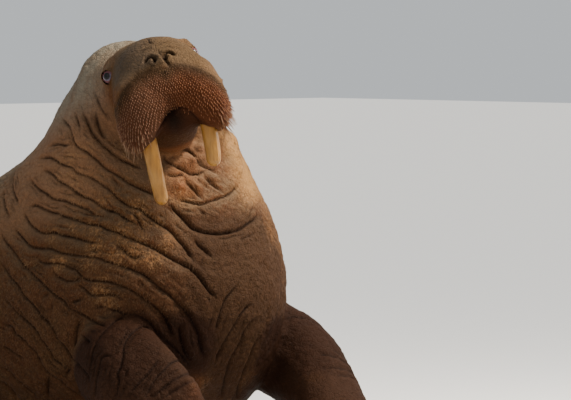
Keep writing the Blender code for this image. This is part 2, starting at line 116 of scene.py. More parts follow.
def makeCamera():
    data = bpy.data.cameras.new("camera")
    camera = linked(bpy.data.objects.new("camera", data))
    camera.location = pixelPlace(*view["middle"]) + towardCamera * view["distance"]
    camera.rotation_euler = (-towardCamera).to_track_quat("-Z", "Y").to_euler()
    data.sensor_width = view["sensor"]
    data.lens = view["sensor"] * view["distance"] / (view["width"] * view["pixel"])
    data.clip_end = view["reach"]
    bpy.context.scene.camera = camera
    return camera


camera = makeCamera()


def nothingSelected():
    for obj in bpy.context.selected_objects:
        obj.select_set(False)


def activate(obj):
    nothingSelected()
    obj.select_set(True)
    bpy.context.view_layer.objects.active = obj


def editMode(obj, mode="VERT"):
    activate(obj)
    bpy.ops.object.mode_set(mode="EDIT")
    bpy.ops.mesh.select_mode(type=mode)


def objectMode():
    bpy.ops.object.mode_set(mode="OBJECT")


def modified(obj, kind, **settings):
    activate(obj)
    modifier = obj.modifiers.new(kind.lower(), kind)
    for name, value in settings.items():
        setattr(modifier, name, value)
    bpy.ops.object.modifier_apply(modifier=modifier.name)
    return obj


def copied(obj):
    # a copy with a mesh of its own
    copy = obj.copy()
    copy.data = obj.data.copy()
    return linked(copy)


def joined(objects, name):
    nothingSelected()
    for obj in objects:
        obj.select_set(True)
    bpy.context.view_layer.objects.active = objects[0]
    bpy.ops.object.join()
    objects[0].name = objects[0].data.name = name
    return objects[0]


def circleInEdit(corners, radius, fill):
    # a circle in edit mode, all selected and ready to extrude
    nothingSelected()
    bpy.ops.mesh.primitive_circle_add(vertices=corners, radius=radius, fill_type=fill, location=(0, 0, 0))
    circle = bpy.context.object
    editMode(circle)
    bpy.ops.mesh.select_all(action="SELECT")
    return circle


def extrudeOn(move, sizes):
    bpy.ops.mesh.extrude_region_move(TRANSFORM_OT_translate={"value": move})
    bpy.ops.transform.resize(value=sizes)


def turnFacesOut():
    # ends edit mode with every face pointing outward
    bpy.ops.mesh.select_all(action="SELECT")
    bpy.ops.mesh.normals_make_consistent(inside=False)
    objectMode()


def takeModel(obj):
    # the corners and faces of a model, which then goes
    model = placesOf(obj), [list(face.vertices) for face in obj.data.polygons]
    bpy.data.objects.remove(obj)
    return model


def copyOfNode(name, grow=0.0):
    # a loose copy of a solid, merged, and fattened a little so that neighbours overlap
    copy = copied(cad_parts[name])
    copy.name = "copy_" + name
    editMode(copy)
    bpy.ops.mesh.select_all(action="SELECT")
    bpy.ops.mesh.remove_doubles(threshold=0.00002)
    if grow:
        bpy.ops.transform.shrink_fatten(value=grow)
    objectMode()
    return copy


def keepLargest(obj):
    # drops every loose surface but the one of most corners
    mesh = bmesh.new()
    mesh.from_mesh(obj.data)
    waiting, groups = set(mesh.verts), []
    while waiting:
        group, front = [], [waiting.pop()]
        while front:
            vertex = front.pop()
            group.append(vertex)
            near = {edge.other_vert(vertex) for edge in vertex.link_edges} & waiting
            waiting -= near
            front.extend(near)
        groups.append(group)
    groups.sort(key=len)
    bmesh.ops.delete(mesh, geom=[v for group in groups[:-1] for v in group], context="VERTS")
    mesh.to_mesh(obj.data)
    mesh.free()


def valuesOf(items, key, width=1, kind=np.float32):
    # one value for each item, or a row of them
    flat = np.empty(len(items) * width, kind)
    items.foreach_get(key, flat)
    return flat if width == 1 else flat.reshape(-1, width)


def placesOf(obj):
    return valuesOf(obj.data.vertices, "co", 3).astype(float)


def normalsOf(obj):
    return valuesOf(obj.data.vertex_normals, "vector", 3).astype(float)


def setPlaces(obj, places):
    obj.data.vertices.foreach_set("co", places.astype(np.float32).ravel())
    obj.data.update()


def setTone(obj, name, values):
    obj.data.attributes.new(name, "FLOAT", "POINT").data.foreach_set("value", values.astype(np.float32))


def triangleCount(faces):
    return sum(len(face) - 2 for face in faces)


def trianglesOf(obj):
    return triangleCount([face.vertices for face in obj.data.polygons])


def treeOf(places):
    tree = KDTree(len(places))
    for i, place in enumerate(places):
        tree.insert(place, i)
    tree.balance()
    return tree


def surfaceOf(obj):
    return BVHTree.FromObject(obj, bpy.context.evaluated_depsgraph_get())


def farFrom(places, middle):
    return np.linalg.norm(places - np.array(middle), axis=1)


def bell(value, width):
    return np.exp(-((value / width) ** 2))


def smoothstep(low, high, value):
    t = np.clip((value - low) / (high - low), 0, 1)
    return t * t * (3 - 2 * t)


def headCoords(places):
    return (places - np.array(headPlace)) @ np.array(headSpin)


def fromHeadCoords(local):
    return local @ np.array(headSpin).T + np.array(headPlace)


def pixelCoords(places):
    # each place as the camera sees it, in pixels
    away = places - np.array(camera.location)
    depth = -(away @ np.array(towardCamera))
    scale = view["distance"] / depth / view["pixel"]
    x = view["middle"][0] + (away @ np.array(rightward)) * scale
    y = view["middle"][1] - (away @ np.array(upward)) * scale
    return x, y


print("stage 2: one skin from the flesh")

fleshNodes = [
    "chest", "belly", "rump", "tail", "neck", "head", "muzzle", "lower_jaw",
    "foreflipper_left", "foreflipper_right", "hindflipper_left", "hindflipper_right",
]
skinSpec = {
    "voxel": 0.0062, "inset": 0.0012, "triangles": 194000, "overlap": 0.0006, "chinSize": 0.965, "smoothing": 7,
}


def makeSkin():
    copies = [copyOfNode(name, skinSpec["overlap"]) for name in fleshNodes]
    chin = copies[fleshNodes.index("lower_jaw")]  # a slimmer chin leaves a furrow along the lip
    places = placesOf(chin)
    middle = places.mean(axis=0)
    setPlaces(chin, middle + (places - middle) * skinSpec["chinSize"])
    skin = joined(copies, "hide")
    modified(skin, "REMESH", mode="VOXEL", voxel_size=skinSpec["voxel"])
    keepLargest(skin)
    return modified(skin, "SMOOTH", factor=0.5, iterations=skinSpec["smoothing"])


def facesToRefine(skin, test):
    faces = skin.data.polygons
    return test(valuesOf(faces, "center", 3).astype(float), valuesOf(faces, "normal", 3).astype(float))


def refine(skin, test, smoothing=2):
    chosen = facesToRefine(skin, test)
    editMode(skin, "FACE")
    bpy.ops.mesh.select_all(action="DESELECT")
    objectMode()
    skin.data.polygons.foreach_set("select", chosen)
    editMode(skin, "FACE")
    bpy.ops.mesh.subdivide(number_cuts=1)
    bpy.ops.mesh.vertices_smooth(factor=0.5, repeat=smoothing)
    objectMode()


# where the skin is cut finer: the part of the picture in pixels, how far faces may turn from it, and metres about
# the middle of the head, the eyes and the nostrils
finerSpec = {
    "left": -6, "right": 272, "top": 25, "bottom": 406, "facing": -0.15, "headMiddle": (0.0, 0, -0.09), "head": 0.20,
    "eye": 0.038, "nostril": 0.028,
}


def nearHeadOrInView(middles, normals):
    x, y = pixelCoords(middles)
    inView = (x > finerSpec["left"]) & (x < finerSpec["right"]) & (y > finerSpec["top"]) & (y < finerSpec["bottom"])
    facing = normals @ np.array(towardCamera) > finerSpec["facing"]
    return (inView & facing) | (farFrom(headCoords(middles), finerSpec["headMiddle"]) < finerSpec["head"])


nostrilSpec = {
    "middle": (0.142, 0.024, -0.031), "aim": (0.80, 0.0, 0.60), "radius": 0.0118, "width": 0.0040, "depth": 0.0140,
    "wing": 0.0026, "wingRadius": 0.0215, "lobe": 0.0046,
}


def eyesAndNostrils():
    # the middle of each eye and of the nostril on its side, in the head's frame
    return [(toHead @ eyeMiddles[side], sided(nostrilSpec["middle"], side)) for side in (-1, 1)]


def nearEyesOrNose(middles, normals):
    local = headCoords(middles)
    near = np.zeros(len(local), bool)
    for eye, nose in eyesAndNostrils():
        near |= (farFrom(local, eye) < finerSpec["eye"]) | (farFrom(local, nose) < finerSpec["nostril"])
    return near


skin = makeSkin()
baseTree = surfaceOf(skin)
refine(skin, nearHeadOrInView)
refine(skin, nearEyesOrNose, 1)
print("  corners:", len(skin.data.vertices))


print("stage 3: folds")

# folds as the camera sees them, read off in pixels
foldLines = {
    "neck": [
        ((61, 118), (69, 127), (71, 133), (74, 143), (79, 148), (87, 152), (97, 160), (106, 168), (120, 176),
         (133, 184), (150, 192), (158, 197)),
        ((48, 146), (58, 144), (64, 145), (73, 143)),
        ((74, 110), (76, 117), (79, 126), (80, 133)),
        ((82, 110), (87, 120), (91, 128), (96, 135), (102, 142), (106, 146), (120, 157), (132, 163), (144, 169)),
        ((95, 110), (98, 124), (104, 135), (109, 141)),
        ((104, 110), (108, 117), (113, 124)),
        ((39, 158), (48, 157), (54, 160), (61, 164), (70, 167), (77, 173), (87, 176), (95, 180), (101, 184), (111, 191),
         (120, 200), (130, 206), (140, 209), (149, 216), (161, 224), (169, 229), (174, 234), (179, 241), (184, 246),
         (189, 253), (194, 261)),
        ((41, 169), (49, 172), (58, 181), (66, 185), (74, 191), (82, 196), (89, 198), (97, 203), (106, 209), (116, 212),
         (125, 217), (135, 223), (141, 229)),
        ((28, 178), (37, 188), (45, 193), (52, 198), (63, 200), (70, 203), (79, 206), (87, 209), (93, 213), (98, 218)),
        ((27, 206), (35, 205), (44, 209), (52, 212), (58, 213), (63, 216), (70, 218), (79, 221), (91, 224), (99, 225),
         (107, 229), (116, 231.5), (131, 238), (143, 243), (154, 248), (163, 253), (174, 260), (183, 264), (192, 269),
         (200, 277), (206, 285), (211, 292), (218, 298)),
        ((23, 211), (28, 222), (35, 229), (43, 233), (53, 232), (62, 235), (73, 237), (83, 240), (91, 242), (102, 242)),
        ((88, 243), (93, 249), (98, 256)),
        ((110, 173), (117, 183), (122, 189)),
        ((115, 242), (123, 249), (134, 257), (147, 254)),
        ((133, 207), (135, 213), (140, 223), (144, 232)),
        ((165, 201), (175, 210), (185, 220), (191, 227), (198, 230), (207, 232), (218, 233), (229, 232), (240, 229),
         (247, 225), (254, 220), (259, 214)),
        ((191, 236), (197, 243), (204, 249), (211, 255), (216, 261)),
        ((140, 210), (151, 216), (158, 220)),
    ],
    "throat": [
        ((160, 155), (171, 163), (185, 171), (190, 174), (198, 174), (205, 171), (210, 168)),
        ((171, 155), (185, 151), (191, 152), (197, 159), (201, 165), (210, 169), (219, 174)),
        ((164, 173), (175, 176), (185, 173)),
        ((185, 176), (187, 182), (193, 189), (201, 197), (206, 200)),
        ((196, 175), (200, 181), (205, 187)),
        ((204, 175), (211, 183), (220, 189), (225, 194)),
        ((176, 198), (185, 201), (193, 203), (201, 204), (211, 201), (223, 197), (231, 193), (239, 185)),
        ((211, 208), (216, 211), (222, 215)),
        ((197, 205), (202, 211), (206, 216)),
    ],
    "chest": [
        ((14, 227), (21, 237), (27, 244), (32, 247), (40, 248), (50, 249), (58, 252), (66, 254), (75, 255), (87, 256.5),
         (97, 258), (105, 261), (116, 264), (131, 269), (143, 274), (152, 281), (162, 289), (171, 296), (178, 304),
         (186, 312), (195, 326), (199, 336), (200.5, 346), (205, 360)),
        ((36, 257), (41, 262), (46, 263), (54, 263), (61, 264), (69, 268), (75, 270), (80, 275), (85, 279), (91, 280.5),
         (99, 281), (112, 283), (120, 286), (132, 291.5), (143, 299), (153, 306), (163, 316), (169, 327), (173, 338)),
        ((28, 270), (33, 266), (41, 264)),
        ((53, 269), (55, 275), (60, 278), (66, 281), (75, 280), (83, 277)),
        ((75, 284), (83, 288), (88, 293), (91, 295), (99, 295.5), (108, 294.5), (116, 296), (124, 301)),
        ((68, 308), (72, 303), (80, 299.5), (85, 295)),
        ((0, 232), (5, 242), (11, 249), (16, 256), (22, 264), (28, 270.5), (33, 276), (40, 282), (46, 288), (50, 292),
         (56, 297), (63, 302), (68, 308), (75, 312), (83, 316), (91, 320), (99, 322), (105, 325)),
        ((50, 293), (43, 296), (40, 301)),
        ((53, 299), (51, 307), (53, 315)),
        ((0, 261), (5, 271), (12, 280), (17, 286), (22, 294.5), (27, 300), (33, 306), (38, 312), (41, 317), (47, 323),
         (53, 331.5), (57, 340), (63, 346.5), (68, 353), (72, 360), (78, 366), (85, 374), (88.5, 381), (89.5, 389)),
        ((0, 297), (5, 301), (11, 307), (17, 314), (24, 320), (31, 326.5), (36, 333), (40, 340), (45, 346), (49, 352),
         (53, 360), (58, 363), (65, 369)),
        ((0, 320), (4, 325), (11, 327), (14, 334), (21, 339), (27, 346), (33, 352), (37, 359), (41, 366), (47, 373),
         (54, 378), (64, 385), (71, 391), (79, 396), (86, 400)),
        ((0, 345), (7, 350), (14, 355), (20, 358), (25, 363)),
        ((0, 368), (8, 373), (14, 379), (22, 386), (29, 392), (37, 398)),
        ((0, 381), (7, 388), (12, 393), (17, 400)),
        ((47.5, 375), (48, 380), (46.5, 386), (47, 393), (48, 400)),
        ((36, 381), (41, 385), (46, 387)),
        ((80, 318), (76, 329), (74.5, 338), (73, 347), (72, 356)),
        ((80, 334), (85, 338), (90, 343)),
        ((72, 366), (66, 374), (65, 380)),
        ((177, 323), (180, 335), (182, 345), (186, 355), (193, 363)),
        ((240, 282), (233, 291), (227, 300), (222, 311), (219, 321), (215, 335)),
        ((254, 302), (243, 314), (236, 326), (229, 337), (221, 350), (215, 364)),
        ((256, 318), (247, 330), (240, 345), (231, 361), (227.5, 375), (224, 390), (222, 400)),
        ((259, 336), (251, 355), (244, 373), (239, 390), (238, 400)),
        ((16, 168), (12, 179), (13, 193), (19, 205)),
        ((3, 189), (3, 200), (6, 211), (9, 220)),
    ],
    "arm": [
        ((90, 310), (96, 308), (104, 307), (108, 309.5), (116, 311), (124, 314), (135, 315), (144, 319), (151, 324.5),
         (155, 331), (163, 338.5), (172, 346), (180, 354), (187.5, 363), (194, 371)),
        ((130, 314), (122, 316), (115, 319.5), (106, 327), (98, 336.5), (93, 347), (90.3, 357), (89, 370), (88.5, 384)),
        ((114, 356), (102, 356), (98.6, 368), (96, 379), (95, 389), (94.8, 400)),
        ((153, 330), (144, 328), (136, 331), (128, 337.5), (124, 345), (122.5, 357), (120.5, 367), (117, 373.5),
         (119, 379.5), (117, 390), (115.5, 400)),
        ((157, 364), (150, 373), (140, 382.5), (132, 391.5), (130, 400)),
        ((176, 366), (166, 371), (157, 378.5), (150, 387.5), (144, 400)),
        ((195, 382), (184, 382), (172, 385), (162, 390), (150, 400)),
        ((187.5, 390), (178.5, 391.5), (169.5, 395), (163, 400)),
        ((194, 384), (198, 391.5)),
    ],
    "face": [
        ((93, 89), (98, 102), (103, 112), (109, 121)),
        ((102, 88), (105, 97)),
    ],
    "lip": [
        ((155, 139), (158, 133), (164, 123), (170, 114), (176, 109.5), (182, 108.5), (188, 111), (195, 118),
         (201, 125), (205, 131)),
        ((159, 154), (174, 154), (187, 150), (194, 155), (198, 163), (206, 167)),
    ],
    "nose": [
        ((148, 63), (152, 66), (156, 65)),
        ((156, 45), (150, 42), (143, 41)),
        ((158, 45), (164, 42), (171, 42)),
        ((154, 47), (147, 48), (141, 51), (137, 56)),
        ((162, 47), (170, 46), (178, 48)),
        ((147, 36), (149, 41), (153, 45)),
        ((139, 45), (143, 44), (148, 45)),
    ],
    "philtrum": [
        ((157, 49), (159.5, 53), (163, 57), (166, 60.5), (169, 64), (171, 68)),
    ],
}
# for each kind: depth and half width of the furrow, height and breadth of the roll beside it, in metres
foldForms = {
    "neck": (0.0055, 0.0030, 0.0110, 0.021),
    "throat": (0.0045, 0.0026, 0.0090, 0.013),
    "chest": (0.0050, 0.0030, 0.0105, 0.023),
    "arm": (0.0034, 0.0028, 0.0050, 0.016),
    "face": (0.0030, 0.0030, 0.0020, 0.012),
    "ring": (0.0045, 0.0044, 0.0105, 0.024),
    "lip": (0.0070, 0.0028, 0.0025, 0.010),
    "nose": (0.0036, 0.0024, 0.0016, 0.006),
    "philtrum": (0.0085, 0.0040, 0.0020, 0.008),
    "wrinkle": (0.0032, 0.0024, 0.0028, 0.008),
}
rollSides = (0.50, 1.35)  # a roll drops steeply to the furrow below it, and slowly to the one above
foldStep = 0.0015  # metres between two samples of a fold


def smoothCurve(points, steps):
    points = [np.array(point, float) for point in points]
    padded = [2 * points[0] - points[1], *points, 2 * points[-1] - points[-2]]
    found = []
    for before, start, end, after in zip(padded, padded[1:], padded[2:], padded[3:]):
        for t in np.arange(steps) / steps:
            slopeIn, slopeOut = (end - before) / 2, (after - start) / 2
            found.append(
                (2 * t**3 - 3 * t**2 + 1) * start
                + (t**3 - 2 * t**2 + t) * slopeIn
                + (3 * t**2 - 2 * t**3) * end
                + (t**3 - t**2) * slopeOut
            )
    return found + [points[-1]]


def pixelHit(x, y):
    start = Vector(camera.location)
    hit = baseTree.ray_cast(start, (pixelPlace(x, y) - start).normalized())
    return hit[0]


def evenly(points):
    # the same line with a point every foldStep, broken where it jumps off the body
    runs, run = [], [points[0]]
    for point in points[1:]:
        gap = (point - run[-1]).length
        if gap > 0.03:
            runs.append(run)
            run = [point]
            continue
        count = max(1, round(gap / foldStep))
        last = run[-1]
        run += [last.lerp(point, (i + 1) / count) for i in range(count)]
    return runs + [run]


class FoldBook:
    # every sample of every fold: its place, form and strength
    def __init__(self):
        self.places, self.forms, self.strengths, self.runs = [], [], [], []

    def add(self, points, kind, strength=1.0):
        for run in evenly(points):
            if len(run) < 8:
                continue
            self.runs.append((run, kind))
            for i, point in enumerate(run):
                ends = min(i, len(run) - 1 - i) * foldStep
                self.places.append(point)
                self.forms.append(foldForms[kind])
                uneven = 0.86 + 0.30 * noise.noise(point * 38.0)
                self.strengths.append(strength * uneven * float(smoothstep(-0.004, 0.030, ends)))

    def nearest(self, places):
        # for each place: the sample nearest to it, how far off it is, and how much higher the place lies, -1 to 1
        tree = treeOf(self.places)
        index, away = np.empty(len(places), int), np.empty(len(places))
        for i, place in enumerate(places):
            _, index[i], away[i] = tree.find(Vector(place))
        samples = np.array([place[:] for place in self.places])[index]
        above = (places - samples)[:, 2] / np.maximum(away, 1e-6)
        return index, away, above

    def relief(self, places):
        # the furrow and the roll at each place, each from 0 to 1, with their sizes
        index, away, above = self.nearest(places)
        forms, strength = np.array(self.forms)[index], np.array(self.strengths)[index]
        steep, slow = rollSides
        breadth = forms[:, 3] * (slow + (steep - slow) * smoothstep(-0.7, 0.7, above))
        furrow = bell(away, forms[:, 1]) * strength
        roll = np.sqrt(1 - (1 - np.clip(away / breadth, 0, 1)) ** 2)
        fade = np.exp(-np.maximum(away - 0.03, 0) / 0.05) * np.clip(strength * 1.5, 0, 1)
        return furrow, forms[:, 0], (roll - 0.85) * fade * forms[:, 2], roll


def inSight(place):
    # whether the camera sees this place of the body
    x, y = pixelCoords(np.array([place[:]]))
    normal = baseTree.find_nearest(place)[1]
    return -4 < x[0] < 266 and y[0] < 404 and normal.dot(towardCamera) > 0.05


def photoFolds(book):
    for kind, lines in foldLines.items():
        for line in lines:
            hits = [pixelHit(*point) for point in smoothCurve(line, 10)]
            hits = [hit + noise.noise_vector(hit * 30.0) * 0.0012 for hit in hits if hit]
            if len(hits) < 3:
                continue
            book.add(hits, kind)
            if kind in ("chest", "arm"):  # the other flank has its like
                twins = []
                for hit in hits:
                    twin = Vector((-hit.x, hit.y, hit.z))
                    near = baseTree.find_nearest(twin)
                    if near[0] is not None and (near[0] - twin).length < 0.05 and not inSight(near[0]):
                        twins.append(near[0])
                if len(twins) > 2:
                    book.add(twins, kind)


# the middle line of the body from hips to nape, from which the hidden sides' folds are laid out
spineLine = [(0, 1.10, 0.16), (0, 0.75, 0.24), (0, 0.30, 0.30), (0, -0.10, 0.33), (0, -0.36, 0.40),
             (0, -0.56, 0.52), (-0.01, -0.70, 0.64), (-0.03, -0.79, 0.74), (-0.07, -0.83, 0.82)]
# start and sweep in degrees from straight up; lean and wobble in steps of the line, less at the neck
ringSpec = {
    "seed": 11, "count": 96, "reach": 0.9, "start": (-10, 75), "sweep": (40, 100), "lean": (3.0, 8.0),
    "wobble": (0.2, 0.7), "waves": 7, "steps": 45, "neck": 60, "neckLean": 0.4, "floor": 0.02,
}


def hiddenFolds(book):
    # folds that run down and forward over the back and flanks, and round the neck, on the sides the photo hides
    draw = random.Random(ringSpec["seed"])
    spine = smoothCurve(spineLine, 12)
    places = np.array(spine)
    for n in range(ringSpec["count"]):
        t = (n + draw.uniform(0.1, 0.9)) / ringSpec["count"] * (len(places) - 2)
        side = -1 if n % 2 else 1
        start = math.radians(draw.uniform(*ringSpec["start"]))
        sweep = math.radians(draw.uniform(*ringSpec["sweep"]))
        lean = draw.uniform(*ringSpec["lean"]) * (1 if t < ringSpec["neck"] else ringSpec["neckLean"])
        wobble, phase = draw.uniform(*ringSpec["wobble"]), draw.uniform(0, 6.3)
        hits = []
        for k in range(ringSpec["steps"] + 1):
            share = k / ringSpec["steps"]
            angle = start + sweep * share
            at = t + lean * share + wobble * math.sin(phase + share * ringSpec["waves"])
            if not 0 <= at < len(places) - 1:
                continue
            i = int(at)
            middle = Vector(places[i] + (places[i + 1] - places[i]) * (at - i))
            ahead = Vector(places[i + 1] - places[i]).normalized()
            across = ahead.cross(Vector((0, 0, 1))).normalized()
            up = across.cross(ahead)
            outward = up * math.cos(angle) + across * side * math.sin(angle)
            hit = baseTree.ray_cast(middle + outward * ringSpec["reach"], -outward)[0]
            if hit is None or hit.z < ringSpec["floor"] or inSight(hit):
                continue
            hits.append(hit)
        if len(hits) > 8:
            book.add(hits, "ring", draw.uniform(0.5, 1.0))


# beside and across: how many for each 0.1 m of fold; the rest is in metres
wrinkleSpec = {
    "seed": 23, "beside": 3.4, "across": 3.6, "gap": (0.007, 0.026), "length": (0.020, 0.085),
    "crossLength": (0.012, 0.026), "wave": 0.0025, "crossWave": 0.006, "steps": 8,
}


def wrinklesBetween(book, wrinkles):
    # short, shallow wrinkles that run beside the folds, and shorter ones across the rolls
    draw = random.Random(wrinkleSpec["seed"])
    for run, kind in list(book.runs):
        if kind in ("lip", "nose", "philtrum", "face"):
            continue
        length = len(run) * foldStep
        for way, often in (("beside", wrinkleSpec["beside"]), ("across", wrinkleSpec["across"])):
            for _ in range(int(length / 0.10 * often + draw.random())):
                i = draw.randrange(2, len(run) - 2)
                side = draw.choice((-1, 1))
                gap = draw.uniform(*wrinkleSpec["gap"])
                reach = draw.uniform(*wrinkleSpec["length" if way == "beside" else "crossLength"])
                phase = draw.uniform(0, 6.3)
                points = []
                for k in range(wrinkleSpec["steps"] + 1):
                    share = k / wrinkleSpec["steps"]
                    if way == "beside":
                        shift, out = reach * (share - 0.5), gap + wrinkleSpec["wave"] * math.sin(phase + 5 * share)
                    else:
                        shift, out = wrinkleSpec["crossWave"] * math.sin(phase + 2 * share), reach * share + 0.001
                    j = min(max(i + int(shift / foldStep), 1), len(run) - 2)
                    normal = baseTree.find_nearest(run[j])[1]
                    across = (run[j + 1] - run[j - 1]).normalized().cross(normal)
                    near = baseTree.find_nearest(run[j] + across * side * out)[0]
                    points.append(near)
                wrinkles.add(points, "wrinkle", draw.uniform(0.5, 1.0))


folds, wrinkles = FoldBook(), FoldBook()
photoFolds(folds)
hiddenFolds(folds)
wrinklesBetween(folds, wrinkles)
print("  fold samples:", len(folds.places), "wrinkle samples:", len(wrinkles.places))
# patches of pale, dried-out hair that are also painted highlights, set where the chest's lumps, the neck's right edge
# and the arm's end catch the light: pixel and radius in pixels
dryAndLitPatches = [
    (110, 206, 15), (128, 213, 17), (150, 228, 17), (163, 238, 14), (122, 236, 15), (136, 249, 17), (118, 257, 12),
    (150, 257, 13), (103, 288, 13), (96, 226, 10), (236, 150, 14), (243, 172, 14), (250, 192, 13), (200, 386, 12),
    (140, 204, 12), (96, 247, 10), (88, 262, 10), (74, 222, 9), (112, 300, 9), (52, 232, 9), (60, 262, 9), (30, 262, 8),
]


# swells over both eyes and beside the forehead: middle in the head's frame, radius, and height on its right and left
browSpec = [
    ((-0.022, 0.094, 0.026), 0.024, (0.012, 0.012)), ((-0.005, 0.066, 0.046), 0.030, (0.008, 0.007)),
    ((-0.020, 0.111, 0.027), 0.019, (0.0, 0.014)),
]
# soft lumps: pixel, radius and height in metres
lumps = [
    (193, 161, 0.013, 0.012), (200, 148, 0.011, 0.010), (184, 162, 0.014, 0.004), (178, 186, 0.018, 0.007),
    (196, 186, 0.014, 0.008), (213, 178, 0.014, 0.008), (190, 213, 0.020, 0.006), (215, 212, 0.022, 0.006),
    (120, 205, 0.016, 0.005), (135, 217, 0.014, 0.005), (150, 236, 0.016, 0.005), (128, 248, 0.018, 0.005),
    (104, 240, 0.016, 0.004), (168, 244, 0.014, 0.004), (142, 257, 0.018, 0.005), (88, 214, 0.014, 0.004),
    (112, 247, 0.012, 0.004), (160, 266, 0.015, 0.004), (176, 274, 0.014, 0.004), (200, 384, 0.022, 0.010),
    (170, 205, 0.013, 0.004), (155, 213, 0.012, 0.004), (140, 240, 0.010, 0.003), (120, 258, 0.012, 0.003),
    (204, 158, 0.010, 0.005), (232, 141, 0.030, 0.012), (235, 156, 0.028, 0.012), (237, 169, 0.026, 0.008),
    (156.5, 52, 0.0045, 0.003), (159, 57, 0.0045, 0.0035), (161.5, 61.5, 0.0045, 0.0035), (164, 66, 0.0045, 0.003),
    (166.5, 71, 0.0045, 0.0025), (146, 335, 0.045, 0.012), (154, 350, 0.048, 0.020), (166, 367, 0.048, 0.024),
    (180, 386, 0.045, 0.024), (190, 397, 0.040, 0.018),
]


def lumpsOn(places):
    raised = np.zeros(len(places))
    for x, y, radius, height in lumps:
        hit = pixelHit(x, y)
        if hit is not None:
            raised += height * bell(farFrom(places, hit), radius)
    for middle, radius, heights in browSpec:
        for side, height in zip((-1, 1), heights):
            raised += height * bell(farFrom(headCoords(places), sided(middle, side)), radius)
    return raised


# a net of shallow cells, in metres, with the share of a cell that its border takes
leather = {"cell": 0.019, "warp": 0.45, "border": 0.20, "height": 0.0028}
# swells of the hide: how many to a metre, and how high in metres
swells = {"slow": (7.0, 0.0040), "small": (42.0, 0.0015), "tiny": (95.0, 0.0007)}


def addUnevenness(places, raised, borders):
    # slow swells over the whole body, small ones, and a net of shallow cells like worn leather
    for i, place in enumerate(places):
        slow, small, tiny = (noise.noise(Vector(place * often)) * height for often, height in swells.values())
        warped = Vector(place / leather["cell"])
        warped += noise.noise_vector(warped * 0.7) * leather["warp"]
        gaps = noise.voronoi(warped)[0]
        cell = min((gaps[1] - gaps[0]) / leather["border"], 1)
        much = 0.5 + 0.5 * noise.noise(Vector(place * 5.0 + 9.0))
        raised[i] += slow + small + tiny + leather["height"] * (cell - 0.8) * much
        borders[i] = (1 - cell) * much


def smoothed(obj, values, rounds):
    # each round moves a corner's value halfway to the mean of its neighbours'
    a, b = valuesOf(obj.data.edges, "vertices", 2, np.int32).T
    count = np.bincount(a, minlength=len(values)) + np.bincount(b, minlength=len(values))
    for _ in range(rounds):
        total = np.bincount(a, values[b], len(values)) + np.bincount(b, values[a], len(values))
        values = values * 0.5 + total / np.maximum(count, 1) * 0.5
    return values


def foldSkin(skin):
    places, normals = placesOf(skin), normalsOf(skin)
    furrow, depth, swell, roll = folds.relief(places)
    fineFurrow, fineDepth, fineSwell, _ = wrinkles.relief(places)
    local = headCoords(places)
    face = smoothstep(-0.10, -0.02, local[:, 0]) * smoothstep(0.27, 0.20, farFrom(local, finerSpec["headMiddle"]))
    uneven, borders = np.zeros(len(places)), np.zeros(len(places))
    addUnevenness(places, uneven, borders)
    fine = (fineSwell - fineDepth * fineFurrow + uneven) * (1 - 0.7 * face)
    bumps = smoothed(skin, swell, 4) + lumpsOn(places) + fine
    places += normals * (bumps - depth * furrow - skinSpec["inset"])[:, None]
    places[:, 2] = np.maximum(places[:, 2], 0)
    setPlaces(skin, places)
    # painted shade: the furrows of the folds get a darkening tone, and those of the wrinkles and the borders of the
    # leather cells a weaker one, less on the face
    creaseTone = np.maximum(furrow, np.maximum(fineFurrow * 0.62, borders * 0.30) * (1 - face))
    return np.clip(creaseTone, 0, 1), np.clip(roll, 0, 1)


creaseTone, ridgeTone = foldSkin(skin)


print("stage 4: lids and nostrils")

# metres, but for reach: how far out the lids blend into the face, as a share of the eye's opening
lidSpec = {"rim": 0.0036, "under": 0.0012, "reach": 2.5, "groove": 0.0012}


def shapeLids(skin):
    places = placesOf(skin)
    for side in (-1, 1):
        middle = np.array(eyeMiddles[side])
        aim = np.array(headSpin @ sided(eyeGaze, side))
        along = np.cross(aim, np.array(headSpin @ Vector((0, 0, 1))))
        along /= np.linalg.norm(along)
        across = np.cross(along, aim)
        away = places - middle
        distance = np.linalg.norm(away, axis=1)
        way = away / distance[:, None]
        ahead = way @ aim
        radius = eyeSpec["radius"]
        a = way @ along * radius / eyeSpec["halfLength"]
        b = way @ across * radius / eyeSpec["halfHeight"]
        oval = np.hypot(a, b)
        chosen = (distance < 0.050) & (ahead > -0.1)
        rim = radius + lidSpec["rim"] * np.where(b > 0, 1.15, 1.0) * (1 - 0.75 * smoothstep(0.1, 0.8, -a))
        inside = radius - lidSpec["under"]
        lidHeight = inside + (rim - inside) * smoothstep(0.93, 1.10, oval)
        lidHeight -= lidSpec["groove"] * bell(oval - 1.62, 0.16)
        above = smoothstep(0.0, 0.6, b)
        blend = smoothstep(1.45 - 0.33 * above, lidSpec["reach"] - 0.65 * above, oval)
        target = lidHeight * (1 - blend) + np.maximum(distance, radius + 0.001) * blend
        new = np.where(chosen, target, distance)
        places = middle + way * new[:, None]
    setPlaces(skin, places)


